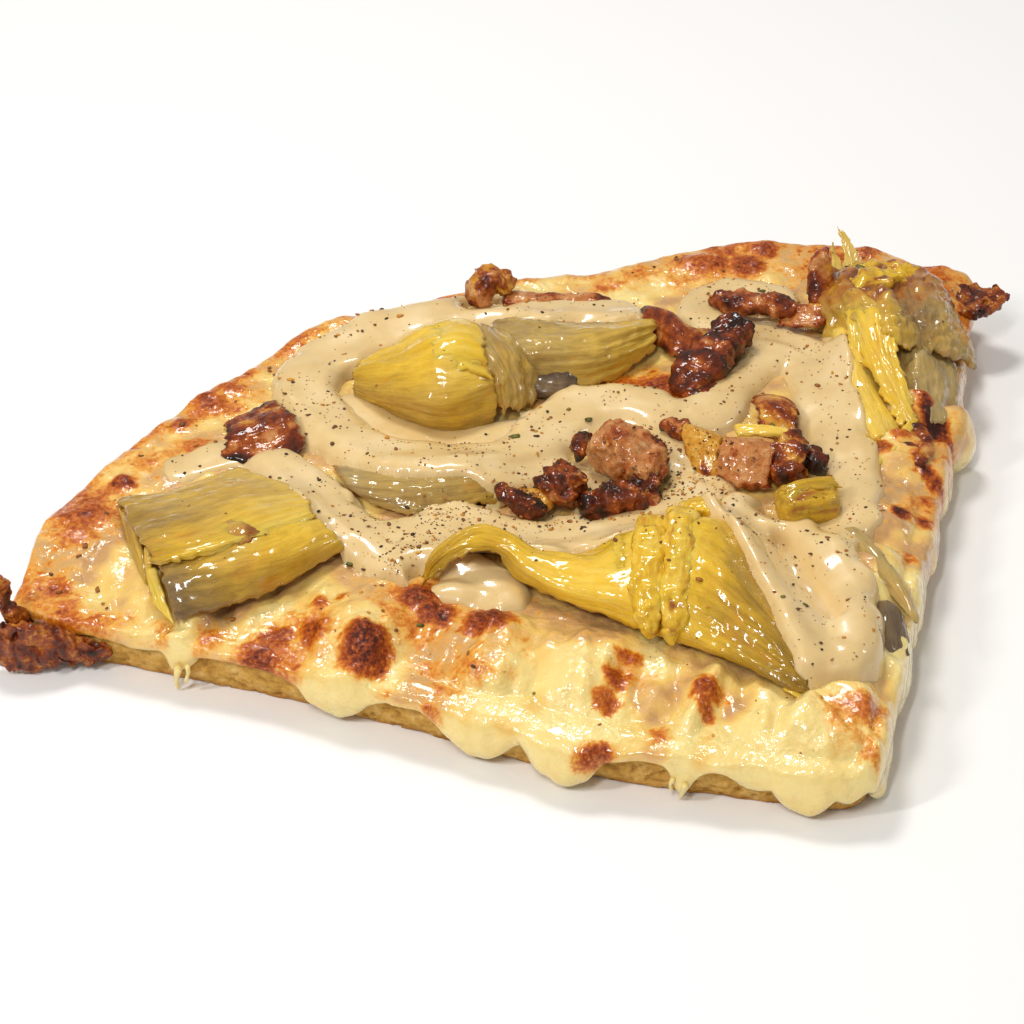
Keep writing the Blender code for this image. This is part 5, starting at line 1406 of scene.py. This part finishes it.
# %% What lies under each place
PLAN_CELL = 0.5
PLAN_LOW = np.array((-114.0, -6.0))
PLAN_SIZE = (444, 336)
PLAN_LENGTH = 158
plan_lines = [low + PLAN_CELL * np.arange(count) for low, count in zip(PLAN_LOW, PLAN_SIZE)]
plan_x, plan_y = np.meshgrid(*plan_lines, indexing="ij")


def highest(names, heights):
    """Heights over the plan raised to the highest point of the named pieces in each square."""
    heights = heights.copy()
    for name in names:
        cloud = SHOWN[name]
        place = np.rint((cloud[:, :2] - PLAN_LOW) / PLAN_CELL).astype(int)
        held = np.all((place >= 0) & (place < PLAN_SIZE), axis=1)
        np.maximum.at(heights, tuple(place[held].T), cloud[held, 2])
    return heights


def softened(heights, reach):
    """Heights averaged with their neighbours over about reach mm, by repeated 1-2-1 averages."""
    for _ in range(int(2 * (reach / PLAN_CELL) ** 2)):
        for axis in (0, 1):
            first, last = np.take(heights, [0], axis), np.take(heights, [-1], axis)
            wide = np.concatenate([first, heights, last], axis)
            count = heights.shape[axis]
            left, right = np.take(wide, range(count), axis), np.take(wide, range(2, count + 2), axis)
            heights = 0.5 * heights + 0.25 * (left + right)
    return heights


cheese_plan = cheese_height(plan_x, plan_y)
on_top = ("artichoke_cut_stem", "artichoke_side_leaves")
bed_pieces = [name for name in SHOWN if name.startswith("artichoke") and name not in on_top]
bed = highest(bed_pieces, cheese_plan)
bed = np.maximum(bed, softened(bed, 0.5))
print("the dressing's bed spans z", bed.min().round(1), bed.max().round(1))

# %% Ribbons of dressing
# Half width, thickness, and the points that each was poured along
RIBBONS = (
    (6.5, 3.2, ((31, 129), (18, 136), (10, 142), (-7, 146), (-17, 145), (-27, 143), (-34, 136), (-35, 126),
                (-34, 118), (-30, 108), (-22, 101), (-12, 98), (-2, 101), (5, 104), (11, 104), (17, 101),
                (20, 96), (19, 89), (16, 81))),
    (5.5, 3.2, ((-49, 117), (-47, 106), (-46, 96), (-44, 88), (-40, 80))),
    (7.4, 2.6, ((-42, 86), (-30, 83), (-16, 76), (0, 73), (12, 73))),
    (5.0, 2.2, ((-18, 71), (-4, 69), (12, 67))),
    (5.4, 1.8, ((-16, 93), (-8, 91), (-2, 84), (-12, 82))),
    (5.5, 1.8, ((12, 96), (13, 84), (16, 74))),
    (5.2, 2.2, ((48, 104), (46, 112), (46, 120), (50, 125), (57, 124), (62, 119))),
    (5.4, 1.8, ((45, 114), (51, 110), (55, 104), (55, 96))),
    (5.6, 2.6, ((19, 92), (30, 93), (38, 99), (44, 102), (50, 103), (54, 100), (54, 93), (49.5, 84),
                (45.5, 74), (41.5, 65), (36.5, 57.5), (31, 51.5), (26, 48))),
    (5.2, 4.2, ((12, 65), (11.5, 55), (10.6, 47), (9, 38), (6.6, 30), (4.4, 21.5))),
    (5.6, 4.6, ((16, 63), (20, 55), (21.3, 47), (20, 40), (18, 33), (14.5, 26.5), (9.5, 20.5))),
    (4.0, 0.7, ((-64, 126), (-53, 126))),
)
# Dressing that lies on the cheese alone: under the arch of the curled leaf, and against the heart
LOW_RIBBONS = (
    (4.4, 2.2, ((-33, 76), (-31, 71), (-30, 65))),
    (3.4, 1.6, ((-38, 70), (-32, 66))),
    (4.6, 1.7, ((-27.4, 128), (-25.8, 119), (-21.3, 111), (-14, 107), (-5, 105.5))),
)
# Toppings that stand up through it: paths in plan and how far round them it stays away
STAND_CLEAR = (
    (2.6, ((-41, 75), (-37, 74), (-31, 72.5), (-27, 69), (-23, 64.5))),
    (0.8, ((4, 116), (8, 113), (17, 110), (28, 113))),
    (2.6, ((66, 108), (68, 112))),
    (2.2, ((8.5, 145.5), (13, 144))),
    (3.2, ((7.4, 79), (5.6, 84), (3.6, 91))),
    (2, ((-10, 81), (-5.6, 83.6))),
    (1.2, ((-6, 76), (6, 75.4))),
    (1, ((-19, 85), (-14, 80))),
    (2.4, ((28, 100), (40, 105))),
    (3.4, ((23, 60), (31, 61.5))),
    (1, ((72, 112), (69, 104), (65, 96), (59.5, 86.5))),
    (2.6, ((36, 84), (40, 88))),
)
# Where two streams meet and leave a groove
CREASE_PATH = ((17, 52), (16.2, 48), (14.8, 42), (13.4, 35), (12, 28.5))
CREASE_DEPTH = 5.0
CREASE_WIDTH = 1.5
# How far in from its edge a ribbon reaches its thickness, and how softly ribbons run together
EDGE_ROUND = 4.4
MERGE = 0.9
print("ribbons:", len(RIBBONS) + len(LOW_RIBBONS))


# %% Distance inside the dressing's edge
def distance_to_path(x, y, path):
    """Distance in plan from each place to a smooth curve through the path's points."""
    path = smooth_path(path, 12 * len(path))
    best = np.full(x.shape, np.inf)
    for (ax, ay), (bx, by) in zip(path[:-1], path[1:]):
        dx, dy = bx - ax, by - ay
        t = np.clip(((x - ax) * dx + (y - ay) * dy) / (dx * dx + dy * dy), 0, 1)
        best = np.minimum(best, (x - ax - t * dx) ** 2 + (y - ay - t * dy) ** 2)
    return np.sqrt(best)


def dressing_profile(x, y, ribbons=RIBBONS, stand_clear=STAND_CLEAR):
    """Distance inside the dressing's edge, as a smooth maximum over the ribbons of half width less
    distance, and the thickness that goes with it: the ribbons' own, weighted by the same maximum."""
    here = flat(x, y)
    uneven = 0.9 * noise(here, 7.0, 201) + 0.35 * noise(here, 2.8, 202)
    inner = [half + uneven - distance_to_path(x, y, path) for half, _, path in ribbons]
    weights = [np.exp(np.clip(f / MERGE, -60, 30)) for f in inner]
    total = sum(weights)
    inside = MERGE * np.log(total + 1e-30)
    thick = sum(w * ribbon[1] for w, ribbon in zip(weights, ribbons)) / (total + 1e-30)
    for clear, path in stand_clear:
        inside = np.minimum(inside, distance_to_path(x, y, path) - clear - 0.6 * uneven)
    return inside, thick


# %% The dressing as a closed slab
def slab(kept, top, bottom):
    """A closed slab over the kept squares of the plan: a quad above and below each, and a wall quad on
    each side whose neighbour isn't kept."""
    around = ((0, 0), (1, 0), (1, 1), (0, 1))
    corners = np.zeros(PLAN_SIZE, bool)
    for dx, dy in around:
        corners[dx : PLAN_SIZE[0] - 1 + dx, dy : PLAN_SIZE[1] - 1 + dy] |= kept
    count = corners.sum()
    number = np.full(PLAN_SIZE, -1)
    number[corners] = np.arange(count)
    i, j = np.nonzero(kept)
    above = np.stack([number[i + dx, j + dy] for dx, dy in around], axis=-1)
    quads = [above, above[:, ::-1] + count]
    padded = np.pad(kept, 1)
    for k, (dx, dy) in enumerate(((0, -1), (1, 0), (0, 1), (-1, 0))):
        open_side = ~padded[i + 1 + dx, j + 1 + dy]
        a, b = above[open_side, k], above[open_side, (k + 1) % 4]
        quads.append(np.stack([b, a, a + count, b + count], axis=-1))
    x, y = plan_x[corners], plan_y[corners]
    points = np.concatenate([flat(x, y, top[corners]), flat(x, y, bottom[corners])])
    return points, np.concatenate(quads)


def poured(lies_on, *profile):
    """The dressing as a closed slab. Its top is the softened bed, softer under the middle of a ribbon,
    plus a quarter-oval swell and slow waves, less the groove. Its bottom reaches a little into the
    bed."""
    inside, thick = dressing_profile(plan_x, plan_y, *profile)
    share = np.clip(inside / EDGE_ROUND, 0, 1)
    swell = thick * np.sqrt(1 - (1 - share) ** 2) + 1.2 * np.minimum(inside, 0)
    ease = smooth_step(0.2, 3.2, inside)
    soft, softer = softened(lies_on, 1.2), softened(lies_on, 2.8)
    under = soft + (np.maximum(softer, soft - 1.5) - soft) * ease
    crease = CREASE_DEPTH * bell(distance_to_path(plan_x, plan_y, CREASE_PATH), CREASE_WIDTH)
    waves = 0.3 * noise(flat(plan_x, plan_y), 8.0, 203) + 0.13 * noise(flat(plan_x, plan_y), 3.4, 204)
    thinnest = under + 0.3 * ease + 1.2 * np.minimum(inside, 0)
    top = np.maximum(under + swell + (waves - crease) * ease, thinnest)
    kept = inside > -0.9
    kept = kept[:-1, :-1] & kept[1:, :-1] & kept[:-1, 1:] & kept[1:, 1:]
    print("dressing covers", (kept.sum() * PLAN_CELL**2 / 100).round(1), "square centimetres")
    return *slab(kept, top, np.minimum(top - 0.35, under - 0.8)), {}


dressing_points, dressing_quads, _ = joined([poured(bed), poured(cheese_plan, LOW_RIBBONS, ())])


# %% [markdown]
# ### The finish of the dressing
# A mayonnaise-like dressing is an emulsion of oil: dense, smooth and nearly opaque, warm beige from its
# spices, with a wet shine, and with the finest of its spices inside it.

# %% Creamy dressing material
def creamy_dressing(tree):
    """Emulsified dressing: light goes half a millimetre in. A voronoi cell of 1.5 mm holds at most one
    dot, its fine spice, and a cloud decides where there are any."""
    where = add(tree, "TexCoord", out="Object")
    cloud = add(tree, "TexNoise", where, Scale=1000 / 9.0, Detail=4.0)
    cream = add(tree, "ValToRGB", cloud, stops=((0.3, "#DAB97C"), (0.5, "#E3C488"), (0.7, "#EBCF9A")))
    spice = add(tree, "TexVoronoi", where, Scale=1000 / 1.5)
    dot = add(tree, "MapRange", spice, 0.14, 0.08, 0.0, 0.85)
    rare = add(tree, "MapRange", add(tree, "TexNoise", where, Scale=1000 / 5.0, Detail=2.0), 0.45, 0.62)
    colour = add(tree, "MixRGB", add(tree, "Math", dot, rare, operation="MULTIPLY"), cream, linear("#9A6A38"))
    dimples = add(tree, "TexNoise", where, Scale=1000 / 1.6, Detail=3.0)
    normal = add(tree, "Bump", Height=dimples, Distance=0.05 * MM)
    return add(
        tree, "BsdfPrincipled", colour, Roughness=0.36, IOR=1.4, Normal=normal, Subsurface_Weight=0.3,
        Subsurface_Radius=(1.0, 0.66, 0.36), Subsurface_Scale=1.2 * MM, Coat_Weight=0.85, Coat_Roughness=0.1)


DRESSING = new_material("creamy_dressing", creamy_dressing)
new_piece("creamy_dressing", dressing_points, dressing_quads, {}, DRESSING, "cream_dressing", "dressing")

# %% [markdown]
# ## Pepper, spice and herbs
# Coarse pepper and chilli were ground over the dressing, thickest in one band across the middle. They
# could be specks of colour, but real grains catch light and stand up. Each is a squashed, stretched
# ball of twenty faces, and all grains of a kind are one mesh. A grain is set down at the highest point
# of its half-millimetre square, so most sink in a little, and on a steep side some stand up to 0.4 mm
# clear of the surface.

# %% Grains on the surface
GOLDEN = (1 + 5**0.5) / 2
GRAIN_POINTS = unit(np.array([
    (-1, GOLDEN, 0), (1, GOLDEN, 0), (-1, -GOLDEN, 0), (1, -GOLDEN, 0),
    (0, -1, GOLDEN), (0, 1, GOLDEN), (0, -1, -GOLDEN), (0, 1, -GOLDEN),
    (GOLDEN, 0, -1), (GOLDEN, 0, 1), (-GOLDEN, 0, -1), (-GOLDEN, 0, 1),
]))
GRAIN_FACES = np.array([
    (0, 11, 5), (0, 5, 1), (0, 1, 7), (0, 7, 10), (0, 10, 11),
    (1, 5, 9), (5, 11, 4), (11, 10, 2), (10, 7, 6), (7, 1, 8),
    (3, 9, 4), (3, 4, 2), (3, 2, 6), (3, 6, 8), (3, 8, 9),
    (4, 9, 5), (2, 4, 11), (6, 2, 10), (8, 6, 7), (9, 8, 1),
])
GRAIN_CORNERS = len(GRAIN_POINTS)
surface_plan = highest([name for name in SHOWN if name != "baked_dough"], cheese_plan)


def surface_at(x, y):
    """Height of the highest surface at each place, from the plan's nearest square."""
    place = np.rint((flat(x, y)[:, :2] - PLAN_LOW) / PLAN_CELL).astype(int)
    place = np.clip(place, 0, np.array(PLAN_SIZE) - 1)
    return surface_plan[tuple(place.T)]


def grains(x, y, sizes, source, squash):
    """Grains of those sizes at those places: the twenty-faced ball with each point pushed in or out,
    stretched along one direction, squashed to that share of its height, and set down on the surface."""
    count = len(x)
    pushed = GRAIN_POINTS[None] * source.uniform(0.7, 1.25, (count, GRAIN_CORNERS, 1))
    turn = source.uniform(0, 2 * math.pi, count)
    long = source.uniform(1.0, 1.7, count)
    px, py, pz = pushed[..., 0] * long[:, None], pushed[..., 1], pushed[..., 2]
    cos, sin = np.cos(turn)[:, None], np.sin(turn)[:, None]
    shape = np.stack([px * cos - py * sin, px * sin + py * cos, squash * pz], -1)
    centre = flat(x, y, surface_at(x, y) + 0.12 * sizes)
    points = (centre[:, None] + 0.5 * sizes[:, None, None] * shape).reshape(-1, 3)
    faces = (GRAIN_FACES[None] + GRAIN_CORNERS * np.arange(count)[:, None, None]).reshape(-1, 3)
    return points, faces


# %% Where the pepper falls
def scattered(source, count, density):
    """Places in the plan drawn where density, a function of x and y from 0 to 1, beats a random number."""
    x = source.uniform(PLAN_LOW[0], -PLAN_LOW[0], count)
    y = source.uniform(0, PLAN_LENGTH, count)
    chosen = source.uniform(0, 1, count) < density(x, y)
    return x[chosen], y[chosen]


def pepper_density(x, y):
    """Pepper falls everywhere, more on the dressing, and most in a band over the middle and on the
    front quarter's torn ridges, in clumps given by noise."""
    inside, _ = dressing_profile(x, y)
    band = smooth_step(0.0, 6.0, 11 - np.abs(y - 79 + 0.18 * x))
    band = band * smooth_step(-52, -44, x) * smooth_step(30, 18, x)
    on = np.where(inside > 0.5, 0.2, 0.016)
    ridge = 0.7 * bell(np.hypot(x + 0.5, y - 59.5), 6.5)
    clumps = 0.6 + 0.8 * noise(flat(x, y), 12.0, 211) + 0.6 * noise(flat(x, y), 3.0, 212)
    share = on + 0.75 * band * (0.45 + 0.55 * (inside > 0)) + ridge
    return share * clumps * (inside_distance(x, y) > 1.5)


pepper_source = np.random.default_rng(21)
x, y = scattered(pepper_source, 60000, pepper_density)
sizes = 0.22 + 0.55 * pepper_source.uniform(0, 1, len(x)) ** 4.0
points, faces = grains(x, y, sizes, pepper_source, 0.5)
shade = np.repeat(pepper_source.uniform(0, 1, len(x)), GRAIN_CORNERS)
print("pepper grains:", len(x))


# %% Ground pepper and spice material
def ground_spice(tree):
    """Dry ground spice: black and brown pepper husk, and orange chilli, chosen by the shade."""
    shade = add(tree, "Attribute", attribute_name="shade", out="Fac")
    colour = add(tree, "ValToRGB", shade, stops=((0.0, "#20150B"), (0.2, "#482C10"), (0.5, "#7E4C1A"),
                                                 (0.8, "#AE6A20"), (1.0, "#DC982C")))
    return add(tree, "BsdfPrincipled", colour, Roughness=0.6, IOR=1.5)


SPICE = new_material("ground_pepper_and_chilli", ground_spice)
new_piece("ground_pepper", points, faces, {"shade": shade}, SPICE, "burnt_cheese")

# %% [markdown]
# ## Cheese strings, toasted crumbs and herbs
# As the slice was lifted away, two drips drew out into thin strings of cheese. Crumbs of browned cheese
# and bacon lie about, small burnt spikes stand on the rim, and a few dried herb flakes came with the
# dressing. The strings and spikes are tapered lumps, and the crumbs and flakes are scattered grains,
# because the same few functions already give such shapes.

# %% Strings of cheese on the left cut
def cheese_string(along, reach_out, top, foot, width):
    """A tapered thread from under the lip at that distance from the tip down to the foot's height."""
    base = np.array((-along * SIN_WEDGE, along * COS_WEDGE))
    out = np.array((-COS_WEDGE, -SIN_WEDGE))
    share = np.linspace(0, 1, 6)
    level = base + (BOW_DEPTH * 0.5 + reach_out * (1 - 0.3 * share))[:, None] * out
    level = level + (0.5 * np.sin(3 * share + along))[:, None] * np.array((-SIN_WEDGE, COS_WEDGE))
    size = width * (1 - 0.72 * share**0.6)
    stations = np.column_stack([level, top + (foot - top) * share, size, size])
    points, quads, _ = lump(stations, int(along), uneven=0.12, cell=FINE_CELL)
    return points, quads, {"brown": np.zeros(len(points)), "pale": np.ones(len(points))}


# Distance from the tip, how far out, height of top and foot, and half width
STRINGS = (
    (118.8, 0.8, 6.0, 0.5, 0.9),
    (117.2, 1.2, 7.0, 2.6, 0.6),
    (29.6, 3.4, 5.0, 0.5, 0.8),
    (31.2, 3.2, 5.4, 1.8, 0.6),
)
new_piece("cheese_strings", *joined([cheese_string(*row) for row in STRINGS]), MELTED_CHEESE, "melted_cheese")


# %% Burnt spikes on the rim
def rim_spikes(angles):
    """Small burnt tongues on the outline at those angles from the slice's middle line, in degrees, each
    with its length in mm: three stations from inside the edge outwards and up, each smaller."""
    parts = []
    for k, (angle, size) in enumerate(angles):
        angle = math.radians(angle)
        out = np.array((math.sin(angle), math.cos(angle)))
        phi = math.atan2(PIZZA_RADIUS * out[1] - CENTRE_Y, PIZZA_RADIUS * out[0])
        edge = outline_radius(np.array([phi]))[0] * np.array((math.cos(phi), math.sin(phi))) + (0, CENTRE_Y)
        rows = []
        for step in (0.0, 0.5, 1.0):
            x, y = edge + (step * size - 2.4) * out
            rows.append((x, y, 10.6 + 0.9 * step * size, 1.3 - 0.6 * step, 1.0 - 0.4 * step))
        parts.append(burnt_lace(rows, 40 + k))
    return joined(parts)


RIM_SPIKES = ((-36.5, 2.4), (-35.0, 1.8), (-12.0, 2.0), (22.2, 2.4), (27.0, 1.6), (36.6, 2.2), (41.4, 2.6))
new_piece("rim_spikes", *rim_spikes(RIM_SPIKES), BACON, "burnt_cheese")

# %% Toasted crumbs and herb flakes
def crumb_density(x, y):
    """Crumbs lie mostly near the crust, and thinly everywhere else."""
    near_rim = smooth_step(16, 3, inside_distance(x, y)) * outer_share(1.1 * x, 1.1 * y)
    return (0.5 * near_rim + 0.06) * (inside_distance(x, y) > 1.0)


crumb_source = np.random.default_rng(33)
x, y = scattered(crumb_source, 1500, crumb_density)
points, faces = grains(x, y, crumb_source.uniform(0.4, 1.1, len(x)), crumb_source, 0.6)
shade = np.repeat(crumb_source.uniform(0.35, 1.0, len(x)), GRAIN_CORNERS)
new_piece("toasted_crumbs", points, faces, {"shade": shade}, SPICE, "burnt_cheese")
print("crumbs:", len(x))


def dried_herb(tree):
    """Dried parsley and oregano: matt dark green, going brown at random."""
    where = add(tree, "TexCoord", out="Object")
    faded = add(tree, "TexNoise", where, Scale=1000 / 6.0, Detail=3.0)
    colour = add(tree, "ValToRGB", faded, stops=((0.35, "#4A4A18"), (0.5, "#6A6824"), (0.65, "#86702C")))
    return add(tree, "BsdfPrincipled", colour, Roughness=0.6, IOR=1.4)


herb_source = np.random.default_rng(52)
x, y = scattered(herb_source, 1400, lambda x, y: 0.025 * (inside_distance(x, y) > 3))
points, faces = grains(x, y, herb_source.uniform(0.7, 1.5, len(x)), herb_source, 0.16)
new_piece("herb_flakes", points, faces, {}, new_material("dried_herb", dried_herb), "burnt_cheese")
print("herb flakes:", len(x))
